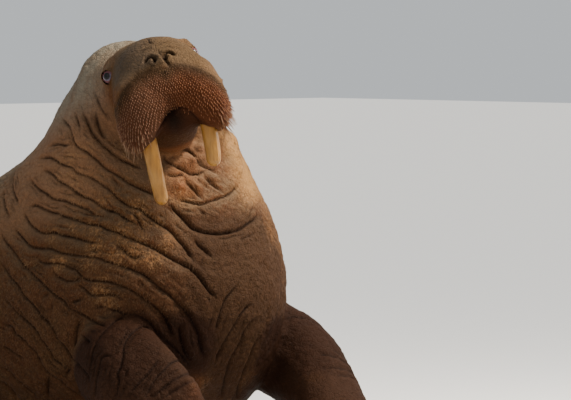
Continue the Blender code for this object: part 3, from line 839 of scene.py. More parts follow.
def shapeNostrils(skin):
    places = placesOf(skin)
    local = headCoords(places)
    aim = np.array(Vector(nostrilSpec["aim"]).normalized())
    outward = np.array((0.0, 1.0, 0.0))
    rise = np.cross(aim, outward)
    slots = np.zeros(len(places))
    for side in (-1, 1):
        away = local - np.array(sided(nostrilSpec["middle"], side))
        x, y, z = away @ outward * side, away @ rise, away @ aim
        angle = np.arctan2(y, x)
        radius = np.hypot(x, y)
        angle = np.where(angle < math.radians(-90), angle + 2 * math.pi, angle)
        arch = smoothstep(math.radians(-15), math.radians(30), angle)
        arch *= smoothstep(math.radians(250), math.radians(215), angle)
        near = np.abs(z) < 0.03
        slot = bell(radius - nostrilSpec["radius"], nostrilSpec["width"]) * arch * near
        wing = bell(radius - nostrilSpec["wingRadius"], 0.006) * arch * near
        lobe = bell(np.hypot(x, y + 0.003), 0.0080) * near
        raised = -nostrilSpec["depth"] * slot + nostrilSpec["wing"] * wing + nostrilSpec["lobe"] * lobe
        local += aim * raised[:, None]
        slots = np.maximum(slots, slot)
    setPlaces(skin, fromHeadCoords(local))
    return slots


shapeLids(skin)
# the nostril slots are darkened too, as painted shade
creaseTone = np.maximum(creaseTone, shapeNostrils(skin))


def thinSkin(skin, tones):
    # down to the wanted triangles, each corner left taking the tones of the nearest one before
    tree = treeOf(placesOf(skin))
    triangles = trianglesOf(skin)
    print("  triangles before thinning:", triangles)
    if triangles > skinSpec["triangles"]:
        modified(skin, "DECIMATE", ratio=skinSpec["triangles"] / triangles)
    match = np.array([tree.find(Vector(place))[1] for place in placesOf(skin)])
    for name, values in tones.items():
        setTone(skin, name, values[match])


def bristleLimit(l):
    # how high the bristles reach, at this distance from the middle of the face
    return -0.040 - 0.10 * l - 3.0 * l**2 - 60 * l**4 - 0.018 * bell(l, 0.016)


def regionTones(skin):
    # how far each corner belongs to each region, 0 to 1
    places, normals = placesOf(skin), normalsOf(skin)
    local, viewWay = headCoords(places), np.array(towardCamera)
    f, l, u = local.T  # ahead, to its left and up, in the head's frame
    (x, y), twin = pixelCoords(places), pixelCoords(places * (-1, 1, 1))
    along, z = places[:, 1], places[:, 2]
    toward, twinToward = normals @ viewWay, (normals * (-1, 1, 1)) @ viewWay
    facing = smoothstep(0.0, 0.3, toward)
    inHead = smoothstep(0.30, 0.22, farFrom(local, (0.05, 0, -0.1)))

    # the face
    muzzle = smoothstep(0.035, 0.075, f + 0.25 * (u + 0.12)) * smoothstep(0.005, -0.014, u - bristleLimit(l)) * inHead
    snout = smoothstep(-0.02, 0.05, f) * smoothstep(-0.09, -0.03, u) * inHead
    shade = snout * smoothstep(0.030, -0.045, l) * (1 - muzzle) * smoothstep(0.0, 0.09, f)
    face = smoothstep(0.03, 0.09, l) * smoothstep(-0.22, -0.10, f) * smoothstep(-0.27, -0.16, u) * inHead * (1 - muzzle)
    chin = smoothstep(0.078, 0.062, np.abs(l)) * smoothstep(-0.110, -0.125, u) * smoothstep(-0.250, -0.220, u)
    chin *= smoothstep(0.124, 0.116, f) * smoothstep(0.0, 0.03, f)
    # painted shadow: a near-black patch in the middle of the chin
    patch = bell(l + 0.006, 0.024) * bell(u + 0.182, 0.032) * chin

    # the limbs
    flipper = np.maximum(smoothstep(0.26, 0.10, z) * smoothstep(-0.86, -1.00, along), smoothstep(1.02, 1.16, along))
    flipper = np.maximum(flipper, smoothstep(-1.12, -1.22, along) * smoothstep(0.4, 0.3, z))
    # the arms: dark bare skin, darkened further as painted shade, most of all low down
    arm = np.zeros(len(places))
    for name in ("foreflipper_left", "foreflipper_right"):
        limb = surfaceOf(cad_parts[name])
        away = np.array([limb.find_nearest(Vector(place))[3] for place in places])
        arm = np.maximum(arm, smoothstep(0.066, 0.022, away))
    arm *= 0.72 + 0.28 * smoothstep(0.62, 0.36, z)
    # painted highlight: a bright orange spot on top of the near arm's end, on faces turned to the camera
    wrist = bell(x - 195, 11) * bell(y - 391, 13) * facing * smoothstep(0.5, 0.9, arm)

    # the neck and the body
    throat = smoothstep(155, 185, x) * smoothstep(205, 190, y - 0.12 * (x - 200)) * smoothstep(128, 142, y) * facing
    throat *= smoothstep(0.16, 0.24, farFrom(local, (0, 0, -0.02))) * smoothstep(-0.08, 0, f)
    behind = smoothstep(-0.010, -0.075, f) * smoothstep(0.12, 0.04, l) * (1 - throat)
    # the nape: pale greyish hair, partly a painted sheen of light on it
    nape = behind * smoothstep(-0.13, 0.02, u)
    cheek = behind * smoothstep(-0.34, -0.24, u) * (1 - nape) * smoothstep(-0.35, -0.25, f)
    # painted shadow: a darker patch over the right of the chest below the throat, on faces turned to the camera
    chest = smoothstep(165, 200, x) * smoothstep(196, 224, y) * facing * (1 - throat)
    # painted highlight: a bright band along the right edge of the neck, as if lit from that side
    edge = bell(x - 246 - 0.36 * (y - 170), 12) * smoothstep(122, 140, y) * smoothstep(208, 184, y)
    edge *= smoothstep(-0.2, 0.2, toward) * smoothstep(0.16, 0.22, farFrom(local, (0, 0, 0)))
    # painted highlight: faces turned upward are lighter, as if lit from above; weaker at the head end and on the arms
    above = smoothstep(0.02, 0.80, normals[:, 2]) * (0.65 + 0.35 * smoothstep(-0.80, -0.60, along)) * (1 - 0.85 * arm)
    # pale, dried-out hair, partly painted highlight; fainter on the mirrored patches of the other flank
    dry = np.zeros(len(places))
    for px, py, radius in dryAndLitPatches:
        for seenX, seenY, much in ((x, y, 1.0), (*twin, 0.6)):
            away = np.hypot(seenX - px, seenY - py)
            dry = np.maximum(dry, smoothstep(radius * 1.5, radius * 0.2, away) * much)
    dry *= np.maximum(facing, smoothstep(0.0, 0.3, twinToward))

    return {
        # of these, the first is painted shade: the head's right side, away from the light, turns greyer
        "grey": smoothstep(0.05, -0.07, l), "face": face, "muzzle": muzzle, "snout": snout, "flipper": flipper,
        "chin": chin, "top": above, "throat": throat, "dry": dry, "low": smoothstep(0.74, 0.34, z), "arm": arm,
        "patch": patch, "shade": shade, "crown": smoothstep(-0.060, -0.008, u - bristleLimit(l)), "nape": nape,
        "cheek": cheek, "chest": chest, "edge": edge, "wrist": wrist,
    }


thinSkin(skin, {"creaseTone": creaseTone, "ridgeTone": ridgeTone})
for region, tones in regionTones(skin).items():
    setTone(skin, region + "Tone", tones)
print("  skin triangles:", trianglesOf(skin))


print("stage 5: materials")


class Wire:
    # one output of a node, used in sums as if it were a number
    def __init__(self, look, socket):
        self.look, self.socket = look, socket

    def math(self, operation, *values):
        return self.look.node("ShaderNodeMath", {"operation": operation}, dict(enumerate(values)))

    def __add__(self, other):
        return self.math("ADD", self, other)

    def __sub__(self, other):
        return self.math("SUBTRACT", self, other)

    def __rsub__(self, other):
        return self.math("SUBTRACT", other, self)

    def __mul__(self, other):
        return self.math("MULTIPLY", self, other)

    def __pow__(self, other):
        return self.math("POWER", self, other)

    __radd__ = __add__
    __rmul__ = __mul__


class Look:
    # a material and its nodes
    def __init__(self, name, roughness=0.5, **plain):
        self.material = bpy.data.materials.new(name)
        self.material.use_nodes = True
        self.tree = self.material.node_tree
        self.shader = self.tree.nodes["Principled BSDF"]
        self.shader.inputs["Roughness"].default_value = roughness
        for key, value in plain.items():
            self.shader.inputs[key.replace("_", " ")].default_value = value

    def node(self, kind, settings=None, inputs=None, output=0):
        made = self.tree.nodes.new(kind)
        for key, value in (settings or {}).items():
            if key == "stops":
                while len(made.color_ramp.elements) < len(value):
                    made.color_ramp.elements.new(0.5)
                for element, (place, colour) in zip(made.color_ramp.elements, value):
                    element.position, element.color = place, colour
            else:
                setattr(made, key, value)
        for key, value in (inputs or {}).items():
            if isinstance(value, Wire):
                self.tree.links.new(value.socket, made.inputs[key])
            else:
                made.inputs[key].default_value = value
        return Wire(self, made.outputs[output])

    def feed(self, name, wire):
        self.tree.links.new(wire.socket, self.shader.inputs[name])

    def place(self):
        return self.node("ShaderNodeTexCoord", output="Object")

    def tone(self, name):
        return self.node("ShaderNodeAttribute", {"attribute_name": name}, output="Fac")

    def grain(self, place, scale, detail=3, stretch=None, roughness=0.5):
        if stretch:
            place = self.node("ShaderNodeMapping", None, {"Vector": place, "Scale": stretch})
        return self.node(
            "ShaderNodeTexNoise", None, {"Vector": place, "Scale": scale, "Detail": detail, "Roughness": roughness}
        )

    def between(self, value, low, high):
        # 0 below low and 1 above high
        band = {"Value": value, "From Min": low, "From Max": high}
        return self.node("ShaderNodeMapRange", {"interpolation_type": "SMOOTHSTEP"}, band)

    def blend(self, factor, first, second, way="MIX"):
        made = self.tree.nodes.new("ShaderNodeMix")
        made.data_type, made.blend_type = "RGBA", way
        for key, value in ((0, factor), (6, first), (7, second)):
            if isinstance(value, Wire):
                self.tree.links.new(value.socket, made.inputs[key])
            else:
                made.inputs[key].default_value = value if key == 0 else (*value, 1)
        return Wire(self, made.outputs[2])

    def bumped(self, height, strength, distance):
        sizes = {"Height": height, "Strength": strength, "Distance": distance}
        return self.node("ShaderNodeBump", None, sizes, output="Normal")


hideColours = {
    "body": (0.080, 0.0235, 0.0068),
    "pale": (0.130, 0.064, 0.026),
    "red": (0.092, 0.0235, 0.0068),
    "olive": (0.060, 0.031, 0.0110),
    # painted highlight on faces turned upward
    "top": (0.170, 0.130, 0.085),
    # pale greyish hair of the nape, partly painted sheen
    "nape": (0.185, 0.166, 0.128),
    "cheek": (0.235, 0.120, 0.0640),
    # painted shadow on the right of the chest
    "chest": (0.0270, 0.0115, 0.0048),
    # pale orange: dried-out hair, partly painted highlight
    "dry": (0.260, 0.115, 0.040),
    "throat": (0.200, 0.0475, 0.0120),
    # near black: dark spots and cracks, and painted shade in the creases and nostrils
    "crease": (0.0050, 0.0018, 0.0009),
    "muzzle": (0.064, 0.0190, 0.0066),
    # a greyer copy of the muzzle, for painted shade on the side away from the light
    "grey muzzle": (0.064, 0.0255, 0.0120),
    "crown": (0.027, 0.0135, 0.0050),
    "snout": (0.052, 0.0325, 0.0148),
    "chin": (0.036, 0.0115, 0.0042),
    # near black, painted shadow in the middle of the chin
    "patch": (0.0110, 0.0052, 0.0026),
    "shade": (0.044, 0.033, 0.0240),
    # dark bare skin of the arms, partly painted shade
    "arm": (0.0185, 0.0064, 0.0028),
    "low": (0.0260, 0.0110, 0.0050),
    "flipper": (0.030, 0.0125, 0.0062),
    # tan, for the fur grain and for painted highlights on the hair
    "hair": (0.190, 0.102, 0.042),
    # pale tan: painted glints on the hair, and the paler tips of the coat
    "fleck": (0.360, 0.215, 0.105),
    # painted highlight along the right edge of the neck
    "edge": (0.330, 0.172, 0.056),
    # painted highlight on the near arm's end
    "wrist": (0.170, 0.052, 0.0180),
    "face": (0.082, 0.044, 0.0190),
}


def crackLines(look, place):
    warp = look.node("ShaderNodeTexNoise", None, {"Vector": place, "Scale": 25.0, "Detail": 2.0}, output="Color")
    bent = look.node("ShaderNodeVectorMath", {"operation": "MULTIPLY_ADD"}, {0: warp, 1: (0.02, 0.02, 0.02), 2: place})
    cracks = look.node("ShaderNodeTexVoronoi", {"feature": "DISTANCE_TO_EDGE"}, {"Vector": bent, "Scale": 85.0})
    return look.between(cracks, 0.0, 0.10)


# patterns in the hide: scale, detail, stretch, roughness, and the band of the noise that shows, from none to full
hidePatterns = {
    "patches": (5.5, 4, None, 0.5, 0.38, 0.66),
    "mottling": (28, 4, None, 0.6, 0.36, 0.68),
    "olive": (11, 3, None, 0.5, 0.42, 0.64),
    "spots": (95, 3, None, 0.65, 0.50, 0.68),
    "nape streaks": (34, 3, (1.0, 1.0, 0.22), 0.6, 0.30, 0.62),
    "dry grain": (130, 4, None, 0.7, 0.36, 0.62),
    "dry patches": (13, 3, None, 0.5, 0.36, 0.56),
    "fur": (520, 2, (1.0, 1.0, 0.35), 0.5, 0.30, 0.72),
    # the next two are painted highlights on the hair
    "hairHighlights": (330, 2, (1.0, 1.0, 0.5), 0.5, 0.58, 0.70),
    "glints": (260, 3, (1.0, 1.0, 0.6), 0.6, 0.52, 0.62),
}
# colours that a region lays over those before it, with the strength of each
bodyLayers = {"cheek": 0.60, "low": 0.66, "chest": 0.82}
limbLayers = {"wrist": 0.85, "flipper": 0.85, "face": 0.75, "snout": 0.80, "shade": 0.85}
headLayers = {"throat": 0.90, "edge": 0.75, "chin": 1.0, "patch": 1.0}


def hideColour(look, place):
    # the markings that hide and coat share, with painted shade and painted highlights laid over them
    def pattern(name):
        scale, detail, stretch, roughness, low, high = hidePatterns[name]
        return look.between(look.grain(place, scale, detail, stretch, roughness), low, high)

    def over(colour, factor, name):
        return look.blend(factor, colour, hideColours[name])

    def layered(colour, layers):
        for region, strength in layers.items():
            colour = over(colour, look.tone(region + "Tone") * strength, region)
        return colour

    muzzle = look.tone("muzzleTone")
    colour = look.blend(pattern("patches") * 0.45, hideColours["body"], hideColours["pale"])
    colour = over(colour, pattern("mottling") * 0.45, "red")
    colour = over(colour, pattern("olive") * 0.35, "olive")
    colour = over(colour, pattern("spots") * 0.45, "crease")
    # painted highlight on the upward faces
    colour = over(colour, look.tone("topTone") * 0.80, "top")
    # the nape's pale hair in streaks, partly painted sheen
    colour = over(colour, look.tone("napeTone") * (0.50 + 0.40 * pattern("nape streaks")), "nape")
    colour = layered(colour, bodyLayers)
    # pale, dried-out hair, partly painted highlight
    dry = look.tone("dryTone") * pattern("dry grain") * pattern("dry patches")
    colour = over(colour, dry * 0.62, "dry")
    # the arms' dark bare skin with painted shade over it, less on the pale patches
    colour = over(colour, look.tone("armTone") * (0.92 - 0.7 * look.tone("dryTone")), "arm")
    colour = layered(colour, limbLayers)
    # painted shade: the muzzle turns greyer on the side away from the light
    pad = look.blend(look.tone("greyTone"), hideColours["muzzle"], hideColours["grey muzzle"])
    colour = look.blend(muzzle, colour, over(pad, look.tone("crownTone"), "crown"))
    colour = layered(colour, headLayers)
    haired = (1 - muzzle) * (1 - 0.85 * look.tone("armTone")) * (1 - 0.6 * look.tone("chestTone"))
    colour = over(colour, pattern("fur") * 0.16 * haired, "hair")
    # painted highlights on the short hair: pale specks, and glints strongest on the pale, dried-out patches
    colour = over(colour, pattern("hairHighlights") * 0.22 * haired, "hair")
    colour = over(colour, pattern("glints") * (0.07 + 0.62 * dry) * haired, "fleck")
    colour = over(colour, (1 - crackLines(look, place)) * 0.12, "crease")
    # painted shade: the creases and nostrils darkened almost to black
    return over(colour, (look.tone("creaseTone") ** 0.8) * 0.90, "crease")


def hideLook():
    look = Look("hide", 0.62, Specular_IOR_Level=0.06)
    place = look.place()
    look.feed("Base Color", hideColour(look, place))
    speckle = look.grain(place, 210, 3, roughness=0.7)
    look.feed("Roughness", 0.55 + 0.25 * speckle)
    fur = look.grain(place, *hidePatterns["fur"][:3])
    height = fur * 0.35 + speckle * 0.60 + look.grain(place, 75, 4, roughness=0.6) * 1.3
    height = height + crackLines(look, place) * 0.25
    look.feed("Normal", look.bumped(height, 0.75, 0.0050))
    return look.material


def dress(obj, material):
    obj.data.materials.clear()
    obj.data.materials.append(material)
    for polygon in obj.data.polygons:
        polygon.use_smooth = True


dress(skin, hideLook())
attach(skin, "root")
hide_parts(*fleshNodes)


print("stage 6: bristles")

# heights, gaps and lengths in metres in the head's frame; arc is how far round to each side they stand, in degrees,
# stray is in shares of a gap, and longShare is the share of those at the corners that grow long
bristleSpec = {
    "seed": 5, "arc": 105, "stray": 0.16, "top": -0.034, "bottom": -0.238, "rowGap": 0.0054, "gap": 0.0062,
    "axis": 0.020, "radius": 0.00125, "short": 0.0066, "long": 0.027, "longShare": 0.40, "muzzleRadius": 0.135,
    "back": 0.056,
}


def bristleModel():
    spike = circleInEdit(5, 1.0, "NOTHING")
    for rise, size in ((0.30, 0.96), (0.32, 0.86), (0.25, 0.62), (0.13, 0.30)):
        extrudeOn((0, 0, rise), (size, size, 1))
    bpy.ops.mesh.edge_face_add()
    objectMode()
    return takeModel(spike)


def growBristles():
    draw = random.Random(bristleSpec["seed"])
    tree = surfaceOf(skin)
    model, modelFaces = bristleModel()
    rise = model[:, 2] / model[:, 2].max()
    rows = round((bristleSpec["top"] - bristleSpec["bottom"]) / bristleSpec["rowGap"])
    step = bristleSpec["gap"] / bristleSpec["muzzleRadius"]
    count = int(math.radians(bristleSpec["arc"]) / step)
    stray = bristleSpec["stray"]
    places, faces, tones, roots = [], [], [], []
    for row in range(rows + 1):
        drop = row / rows
        level = bristleSpec["top"] + (bristleSpec["bottom"] - bristleSpec["top"]) * drop
        for i in range(-count, count + 1):
            angle = (i + 0.5 * (row % 2)) * step + draw.uniform(-stray, stray) * step
            outward = Vector((math.cos(angle), math.sin(angle), 0))
            height = level + draw.uniform(-stray, stray) * bristleSpec["rowGap"]
            start = headFrame @ (Vector((bristleSpec["axis"], 0, height)) + outward * 0.4)
            hit, normal, _, _ = tree.ray_cast(start, -(headSpin @ outward))
            if hit is None:
                continue
            root, lie = toHead @ hit, headSpin.inverted() @ normal
            if lie.dot(outward) < 0.25 or root.x < bristleSpec["back"]:
                continue
            if height < -0.115 and abs(root.y) < 0.067 and root.x < 0.117:  # the chin is bare
                continue
            if root.z > bristleLimit(root.y) + draw.uniform(-0.004, 0.003):
                continue
            outer = min(abs(root.y) / bristleSpec["muzzleRadius"], 1)
            corner = float(smoothstep(0.50, 1.0, drop) * smoothstep(0.40, 0.85, outer))
            grown = corner if draw.random() < bristleSpec["longShare"] else corner * 0.22
            crown = float(smoothstep(-0.062, -0.006, root.z - bristleLimit(root.y)))
            length = bristleSpec["short"] * (1 - 0.30 * crown) + (bristleSpec["long"] - bristleSpec["short"]) * grown
            length *= draw.uniform(0.8, 1.2)
            down = Vector((0, lie.y * 0.30, -1))
            way = (lie * (0.55 - 0.20 * corner) + down * (0.75 + 0.45 * corner)).normalized()
            droop = down.normalized() * length * draw.uniform(0.10, 0.32)
            radius = bristleSpec["radius"] * draw.uniform(0.85, 1.15) * (1 - 0.40 * grown) * (1 - 0.25 * crown)
            side = way.cross(Vector((0, 0, 1))).normalized()
            up = side.cross(way)
            side, up, way, droop, base = [np.array(v) for v in (side, up, way, droop, root - lie * 0.002)]
            ring = radius * (model[:, 0:1] * side + model[:, 1:2] * up)
            line = base + way * length * rise[:, None] + droop * (rise[:, None] ** 2)
            first = len(places) * len(model)
            places.append(line + ring)
            roots.append(hit)
            faces += [[first + v for v in face] for face in modelFaces]
            # painted shade: bristles on the side away from the light are greyer
            grey = float(smoothstep(0.05, -0.07, root.y))
            tones.append(np.column_stack([rise] + [np.full(len(rise), tone) for tone in (grown, crown, grey)]))
    mesh = bpy.data.meshes.new("bristles")
    mesh.from_pydata([tuple(place) for place in fromHeadCoords(np.vstack(places))], [], faces)
    bristles = linked(bpy.data.objects.new("bristles", mesh))
    for toneName, values in zip(("rise", "grown", "crown", "grey"), np.vstack(tones).T):
        setTone(bristles, toneName, values)
    editMode(bristles)
    turnFacesOut()
    print("  bristles:", len(places), "triangles:", triangleCount(faces))
    return bristles, roots


def bristleLook():
    look = Look("bristle", 0.45, Specular_IOR_Level=0.12)
    rise = look.tone("rise")
    tint = look.grain(look.place(), 60, 2)
    # painted shade: greyer pegs on the side away from the light
    peg = look.blend(look.tone("grey"), (0.240, 0.096, 0.0380), (0.205, 0.108, 0.0620))
    peg = look.blend(look.tone("crown"), peg, (0.135, 0.078, 0.0310))
    tip = look.blend(look.between(look.tone("grown"), 0.25, 0.75), peg, (0.30, 0.19, 0.110))
    colour = look.blend(look.between(rise, 0.25, 0.90), (0.084, 0.0220, 0.0075), tip)
    colour = look.blend(tint * 0.25, colour, (0.12, 0.034, 0.010))
    look.feed("Base Color", colour)
    return look.material


bristles, bristleRoots = growBristles()
dress(bristles, bristleLook())
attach(bristles, "root")


print("stage 7: coat")

# short hair that lies flat: lengths in metres, lift as a share of the length, stray in degrees
coatSpec = {
    "tufts": 19000, "length": (0.0085, 0.0160), "breadth": 0.0010, "thin": 0.45, "lift": 0.17, "stray": 22,
    "sink": 0.0012, "patch": 0.003, "faceShare": 0.50, "unwrapShare": 0.035,
}
coatPieces = {"coat_seen": 31, "coat_left": 32, "coat_right": 33}  # each with its seed


def tuftModel():
    # a flat three-sided blade that ends in a point
    blade = circleInEdit(3, 1.0, "NGON")
    for rise, size in ((0.5, 0.85), (0.5, 0.5)):
        extrudeOn((0, 0, rise), (size, size, 1))
    bpy.ops.mesh.merge(type="CENTER")
    turnFacesOut()
    return takeModel(blade)


def makeUnwrap():
    # the skin's own shape, thinned and unwrapped, to look up where on it a tuft is rooted
    flat = modified(copied(skin), "DECIMATE", ratio=coatSpec["unwrapShare"])
    editMode(flat, "FACE")
    bpy.ops.mesh.select_all(action="SELECT")
    bpy.ops.mesh.quads_convert_to_tris()
    bpy.ops.uv.smart_project(angle_limit=math.radians(66), island_margin=0.002)
    objectMode()
    places = placesOf(flat)
    corners = [tuple(face.vertices) for face in flat.data.polygons]
    layer = flat.data.uv_layers.active.data
    flatUvs = [[tuple(layer[loop].uv) for loop in face.loop_indices] for face in flat.data.polygons]
    tree = BVHTree.FromPolygons([Vector(place) for place in places], corners)
    bpy.data.objects.remove(flat)
    return tree, places, corners, flatUvs


def rootsOnUnwrap(unwrap, roots):
    tree, places, corners, flatUvs = unwrap
    found = np.zeros((len(roots), 2))
    for i, root in enumerate(roots):
        near, _, index, _ = tree.find_nearest(Vector(root))
        a, b, c = (places[corner] for corner in corners[index])
        weights = np.linalg.lstsq(np.array((b - a, c - a)).T, np.array(near) - a, rcond=None)[0]
        first, second, third = np.array(flatUvs[index])
        found[i] = first + (second - first) * weights[0] + (third - first) * weights[1]
    return found


def patchMap(obj, roots, offsets, count):
    # a UV map named OFBake: one small patch for each tuft, at its root's place
    layer = obj.data.uv_layers.new(name="OFBake")
    spots = np.repeat(rootsOnUnwrap(skinUnwrap, roots), count, axis=0) + np.tile(offsets, (len(roots), 1))
    loops = valuesOf(obj.data.loops, "vertex_index", kind=np.int32)
    layer.data.foreach_set("uv", np.clip(spots, 0, 1)[loops].astype(np.float32).ravel())


def toneOf(obj, name):
    return valuesOf(obj.data.attributes[name].data, "value").astype(float)


def crosswise(first, second):
    found = np.cross(first, second)
    return found / np.maximum(np.linalg.norm(found, axis=1), 1e-9)[:, None]


def furLie(roots, normals):
    # along the body toward the tail and a little down, and on the head from the nose to the nape
    spine = np.array(smoothCurve(spineLine, 12))
    index = np.array([np.argmin(((spine - root) ** 2).sum(axis=1)) for root in roots])
    index = np.clip(index, 1, len(spine) - 2)
    back = spine[index - 1] - spine[index + 1]
    back = back / np.linalg.norm(back, axis=1)[:, None] + np.array((0, 0, -0.35))
    head = smoothstep(0.26, 0.12, farFrom(headCoords(roots), (0, 0, 0)))[:, None]
    lie = back * (1 - head) - np.array(headSpin)[:, 0] * head
    lie -= normals * (lie * normals).sum(axis=1)[:, None]
    return lie / np.maximum(np.linalg.norm(lie, axis=1), 1e-9)[:, None]


def hairiness(places, normals):
    # how thickly the tufts stand at each corner of the skin
    local = headCoords(places)
    regions = ("dry", "ridge", "top", "muzzle", "chin", "flipper", "snout", "crease")
    dry, ridge, top, muzzle, chin, flipper, snout, crease = (toneOf(skin, name + "Tone") for name in regions)
    much = (0.35 + 1.6 * dry + 0.7 * ridge + 0.5 * top) * (1 - np.clip(muzzle + chin, 0, 1))
    much *= (1 - 0.9 * flipper) * (1 - 0.6 * snout)
    much *= smoothstep(0.35, 0.10, crease) * smoothstep(0.008, 0.03, places[:, 2])
    much *= 0.25 + 0.75 * smoothstep(-0.9, -0.4, normals[:, 2])
    for eye, nose in eyesAndNostrils():
        much *= smoothstep(0.024, 0.032, farFrom(local, eye)) * smoothstep(0.020, 0.030, farFrom(local, nose))
    return much


def growCoat(name, seed):
    draw = np.random.RandomState(seed)
    places, normals = placesOf(skin), normalsOf(skin)
    x, y = pixelCoords(places)
    seen = (x > -8) & (x < 300) & (y < 408) & (normals @ np.array(towardCamera) > -0.1)
    chosen = {"coat_seen": seen, "coat_left": ~seen & (places[:, 0] > 0), "coat_right": ~seen & (places[:, 0] <= 0)}
    much = hairiness(places, normals) * chosen[name]
    skin.data.calc_loop_triangles()
    corners = valuesOf(skin.data.loop_triangles, "vertices", 3, np.int32)
    a, b, c = (places[corners[:, i]] for i in range(3))
    chance = np.linalg.norm(np.cross(b - a, c - a), axis=1) * much[corners].mean(axis=1)
    count = coatSpec["tufts"]
    at = corners[draw.choice(len(corners), count, p=chance / chance.sum())]
    mix = draw.dirichlet((1, 1, 1), count)[:, :, None]
    roots = (places[at] * mix).sum(axis=1)
    upward = (normals[at] * mix).sum(axis=1)
    upward /= np.linalg.norm(upward, axis=1)[:, None]
    lie = furLie(roots, upward)
    turn = np.radians(draw.normal(0, coatSpec["stray"], count))[:, None]
    lie = lie * np.cos(turn) + np.cross(upward, lie) * np.sin(turn)
    head = smoothstep(0.24, 0.16, farFrom(headCoords(roots), (0.03, 0, -0.05)))
    length = draw.uniform(*coatSpec["length"], count) * (1 - (1 - coatSpec["faceShare"]) * head)
    breadth = coatSpec["breadth"] * draw.uniform(0.7, 1.2, count) * (1 - 0.3 * head)
    lift = coatSpec["lift"] * draw.uniform(0.5, 1.3, count)[:, None]
    way = lie + upward * lift
    way /= np.linalg.norm(way, axis=1)[:, None]
    side = crosswise(upward, lie)
    top = np.cross(way, side)
    model, modelFaces = tuftModel()
    across, above, rise = model[:, 0], model[:, 1] * coatSpec["thin"], model[:, 2] / model[:, 2].max()
    body = (roots - upward * coatSpec["sink"])[:, None, :]
    body = body + way[:, None, :] * (length[:, None] * rise)[:, :, None]
    body = body - (upward * lift)[:, None, :] * (length[:, None] * 0.5 * rise**2)[:, :, None]
    body = body + side[:, None, :] * (breadth[:, None] * across)[:, :, None]
    body = body + top[:, None, :] * (breadth[:, None] * above)[:, :, None]
    first = np.arange(count) * len(model)
    faces = [[start + corner for corner in face] for start in first.tolist() for face in modelFaces]
    mesh = bpy.data.meshes.new(name)
    mesh.from_pydata(body.reshape(-1, 3).tolist(), [], faces)
    coat = linked(bpy.data.objects.new(name, mesh))
    tones = {key: toneOf(skin, key)[at[:, 0]] for key in skin.data.attributes.keys() if key.endswith("Tone")}
    tones["strand"] = draw.uniform(0, 1, count)
    tones = {key: np.repeat(values, len(model)) for key, values in tones.items()}
    tones["rise"] = np.tile(rise, count)
    for key, values in tones.items():
        setTone(coat, key, values)
    offsets = np.column_stack((across * 0.5, rise - 0.5)) * coatSpec["patch"]
    patchMap(coat, roots, offsets, len(model))
    print("  ", name, "triangles:", triangleCount(modelFaces) * count)
    return coat


def coatLook():
    look = Look("coat", 0.60, Specular_IOR_Level=0.10)
    place = look.place()
    colour = hideColour(look, place)
    paler = look.tone("rise") * (0.08 + 0.34 * look.tone("strand")) * (0.50 + 1.1 * look.tone("dryTone"))
    paler = paler * (1 - 0.8 * look.tone("armTone")) * (1 - 0.5 * look.tone("chestTone"))
    look.feed("Base Color", look.blend(paler, colour, hideColours["fleck"]))
    return look.material


skinUnwrap = makeUnwrap()
pegPlaces = bristleModel()[0]
pegOffsets = np.column_stack((pegPlaces[:, 0] * 0.5, pegPlaces[:, 2] - 0.5)) * coatSpec["patch"]
patchMap(bristles, bristleRoots, pegOffsets, len(pegPlaces))
coatMaterial = coatLook()
for coatName, coatSeed in coatPieces.items():
    coatPiece = growCoat(coatName, coatSeed)
    dress(coatPiece, coatMaterial)
    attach(coatPiece, "root")


print("stage 8: claws")

# the tips of the digits, as in the solids: x outward from the middle, y ahead or behind, and how long the claw is
clawSpec = {
    "fore": [(0.148, -1.482, 0.012), (0.222, -1.519, 0.016), (0.296, -1.522, 0.016), (0.364, -1.489, 0.015),
             (0.420, -1.429, 0.012)],
    "hind": [(0.150, 1.523, 0.012), (0.222, 1.485, 0.026), (0.292, 1.461, 0.028), (0.362, 1.435, 0.026),
             (0.440, 1.413, 0.012)],
    "roots": {"fore": (0.242, -1.217), "hind": (0.165, 1.123)}, "behind": {"fore": 0.034, "hind": 0.060},
    "corners": 10, "radius": 0.26, "sink": 0.02, "floor": 0.0004,
}
# how far ahead, how far down and what size each stretch of a claw of length 1 is
clawBend = [(0.22, 0.0, 1.0), (0.26, -0.03, 0.88), (0.24, -0.06, 0.70), (0.18, -0.08, 0.45), (0.08, -0.05, 0.30)]


def clawModel():
    # a curved nail, round above and flat below, a metre long along x
    claw = circleInEdit(clawSpec["corners"], clawSpec["radius"], "NGON")
    bpy.ops.transform.rotate(value=math.radians(90), orient_axis="Y", center_override=(0, 0, 0))
    for ahead, down, size in clawBend:
        extrudeOn((ahead, 0, down), (1, size, size))
    turnFacesOut()
    places = placesOf(claw)
    places[:, 2] = np.where(places[:, 2] < -0.1, -0.1 + (places[:, 2] + 0.1) * 0.6, places[:, 2])
    setPlaces(claw, places)
    return modified(claw, "SUBSURF", levels=2, render_levels=2)


def makeClaws():
    model = clawModel()
    tree = surfaceOf(skin)
    made = []
    for limb in ("fore", "hind"):
        for side in (-1, 1):
            for x, y, length in clawSpec[limb]:
                tip = Vector((x * side, y, 0))
                root = Vector((clawSpec["roots"][limb][0] * side, clawSpec["roots"][limb][1], 0))
                ahead = (tip - root).normalized()
                spot = tip - ahead * (clawSpec["behind"][limb] + length * 0.5)
                hit, normal, _, _ = tree.ray_cast(spot + Vector((0, 0, 0.4)), Vector((0, 0, -1)))
                if hit is None:
                    continue
                ahead = (ahead - normal * ahead.dot(normal)).normalized()
                spin = Matrix((ahead, normal.cross(ahead), normal)).transposed()
                places = placesOf(model) * length @ np.array(spin).T
                places += np.array(hit + normal * length * clawSpec["sink"])
                places[:, 2] = np.maximum(places[:, 2], clawSpec["floor"])
                made.append(copied(model))
                setPlaces(made[-1], places)
    bpy.data.objects.remove(model)
    print("  claws:", len(made))
    return joined(made, "claws")


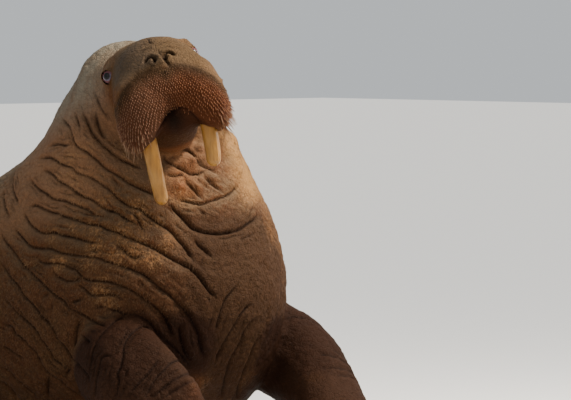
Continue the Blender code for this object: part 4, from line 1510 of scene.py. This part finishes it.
def clawLook():
    look = Look("claw", 0.42, Specular_IOR_Level=0.35)
    place = look.place()
    streaks = look.between(look.grain(place, 160, 3, (1.0, 0.15, 1.0)), 0.35, 0.68)
    colour = look.blend(streaks * 0.8, (0.048, 0.030, 0.018), (0.130, 0.088, 0.052))
    look.feed("Base Color", colour)
    look.feed("Normal", look.bumped(streaks, 0.3, 0.001))
    return look.material


claws = makeClaws()
dress(claws, clawLook())
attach(claws, "root")


print("stage 9: eyes and tusks")


def makeEye(name, side):
    # a ball whose pole looks out, with a slightly raised cornea
    nothingSelected()
    radius = eyeSpec["radius"]
    bpy.ops.mesh.primitive_uv_sphere_add(segments=48, ring_count=32, radius=radius, location=(0, 0, 0))
    eye = bpy.context.object
    eye.name = eye.data.name = name
    places = placesOf(eye)
    pole = places[:, 2] / radius
    bulge = 1 + eyeSpec["cornea"] * smoothstep(0.80, 0.97, pole)
    places *= bulge[:, None] * eyeSpec["size"]
    aim = headSpin @ Vector(eyeSpec["looks"][side]).normalized()
    spin = np.array(aim.to_track_quat("Z", "Y").to_matrix())
    setPlaces(eye, places @ spin.T + np.array(eyeMiddles[side]))
    upper = headCoords(placesOf(eye))[:, 2] - (toHead @ eyeMiddles[side]).z
    setTone(eye, "pole", pole)
    setTone(eye, "upper", upper / radius)
    return eye


def eyeLook():
    look = Look("eye", 0.22, Specular_IOR_Level=0.22)
    pole = look.tone("pole")
    place = look.place()
    veins = look.between(look.grain(place, 420, 4, roughness=0.7), 0.40, 0.65)
    white = look.blend(veins * 0.7, (0.100, 0.050, 0.056), (0.14, 0.034, 0.030))
    iris = look.blend(look.between(look.grain(place, 700, 2), 0.3, 0.7), (0.010, 0.006, 0.005), (0.028, 0.014, 0.010))
    rim = look.blend(look.between(look.tone("upper"), 0.02, 0.30), (0.105, 0.088, 0.125), (0.110, 0.032, 0.038))
    ring = look.blend(look.between(pole, 0.865, 0.900), rim, iris)
    colour = look.blend(look.between(pole, 0.760, 0.810), white, ring)
    colour = look.blend(look.between(pole, 0.905, 0.925), colour, (0.003, 0.0025, 0.003))
    look.feed("Base Color", colour)
    return look.material


eyeMaterial = eyeLook()
for eyeName, eyeSide in (("right", -1), ("left", 1)):
    eyePiece = makeEye(f"eyeball_{eyeName}", eyeSide)
    dress(eyePiece, eyeMaterial)
    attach(eyePiece, "root")
    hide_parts(f"eye_{eyeName}")


# metres: how deep the flutes are, and how far the ivory stands over the solid
tuskSpec = {"broad": 0.00035, "fine": 0.00025, "over": 0.0006}


def makeTusk(name):
    tusk = copyOfNode(name)
    tusk.name = tusk.data.name = name + "_ivory"
    modified(tusk, "SUBSURF", levels=2, render_levels=2)
    places, normals = placesOf(tusk), normalsOf(tusk)
    local = headCoords(places)
    middle = local.mean(axis=0)
    angle = np.arctan2(local[:, 1] - middle[1], local[:, 0] - middle[0])
    flutes = tuskSpec["broad"] * np.sin(angle * 7 + 6 * local[:, 2]) + tuskSpec["fine"] * np.sin(angle * 13 + 1.3)
    places += normals * (flutes + tuskSpec["over"])[:, None]
    setPlaces(tusk, places)
    return tusk


def ivoryLook():
    look = Look("ivory", 0.36, Specular_IOR_Level=0.30)
    place = look.place()
    streaks = look.between(look.grain(place, 95, 4, (1.0, 1.0, 0.10), 0.6), 0.35, 0.70)
    stain = look.between(look.grain(place, 18, 3), 0.35, 0.70)
    colour = look.blend(streaks * 0.7, (0.30, 0.136, 0.022), (0.150, 0.058, 0.008))
    colour = look.blend(stain * 0.35, colour, (0.45, 0.25, 0.080))
    look.feed("Base Color", colour)
    look.feed("Normal", look.bumped(streaks, 0.25, 0.002))
    return look.material


ivoryMaterial = ivoryLook()
for tuskName in ("tusk_right", "tusk_left"):
    tuskPiece = makeTusk(tuskName)
    dress(tuskPiece, ivoryMaterial)
    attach(tuskPiece, "root")
    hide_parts(tuskName)


print("stage 10: floor and light")


def plainLook(name, colour, roughness):
    look = Look(name, roughness)
    look.shader.inputs["Base Color"].default_value = (*colour, 1)
    return look.material


floorSpec = {"size": 60, "colour": (0.74, 0.75, 0.76), "roughness": 0.7}


def makeFloor():
    nothingSelected()
    bpy.ops.mesh.primitive_plane_add(size=floorSpec["size"], location=(0, 0, 0))
    floor = bpy.context.object
    floor.name = "floor"
    dress(floor, plainLook("floor", floorSpec["colour"], floorSpec["roughness"]))


# each light comes from: how far to the right of the view, up, and toward the camera; away is in metres from the head
lightSpec = {
    "sun": {"from": (0.88, 1.12, 0.10), "strength": 3.6, "softness": 9, "away": 4.5, "colour": (1.0, 0.91, 0.78)},
    "key": {"from": (0.88, 1.02, 0.12), "power": 235, "size": 0.35, "away": 1.9, "colour": (1.0, 0.90, 0.76)},
    "rim": {"from": (1.0, 0.30, -0.30), "power": 34, "size": 0.5, "away": 1.5, "colour": (1.0, 0.86, 0.68)},
    "fill": {"from": (-0.60, 0.55, 1.0), "power": 22, "size": 3.0, "away": 4.5, "colour": (1.0, 0.95, 0.88)},
    "world": {"strength": 0.70, "colour": (0.83, 0.87, 0.90)},
}
lampAim = Vector((0, 0.2, -0.35))  # what the lamps point at, from between the eyes


def hangLamp(name, kind, spec):
    right, up, near = spec["from"]
    way = (rightward * right + Vector((0, 0, 1)) * up + towardCamera * near).normalized()
    data = bpy.data.lights.new(name, kind)
    data.color = spec["colour"]
    lamp = linked(bpy.data.objects.new(name, data))
    lamp.location = headPlace + lampAim + way * spec["away"]
    lamp.rotation_euler = way.to_track_quat("Z", "Y").to_euler()
    return data


def makeLights():
    sun = hangLamp("sun", "SUN", lightSpec["sun"])
    sun.energy, sun.angle = lightSpec["sun"]["strength"], math.radians(lightSpec["sun"]["softness"])
    for name in ("key", "rim"):
        lamp = hangLamp(name, "POINT", lightSpec[name])
        lamp.energy, lamp.shadow_soft_size = lightSpec[name]["power"], lightSpec[name]["size"]
    fill = hangLamp("fill", "AREA", lightSpec["fill"])
    fill.energy, fill.size = lightSpec["fill"]["power"], lightSpec["fill"]["size"]
    world = bpy.data.worlds.new("world")
    world.use_nodes = True
    background = world.node_tree.nodes["Background"]
    background.inputs["Color"].default_value = (*lightSpec["world"]["colour"], 1)
    background.inputs["Strength"].default_value = lightSpec["world"]["strength"]
    bpy.context.scene.world = world


makeFloor()
makeLights()
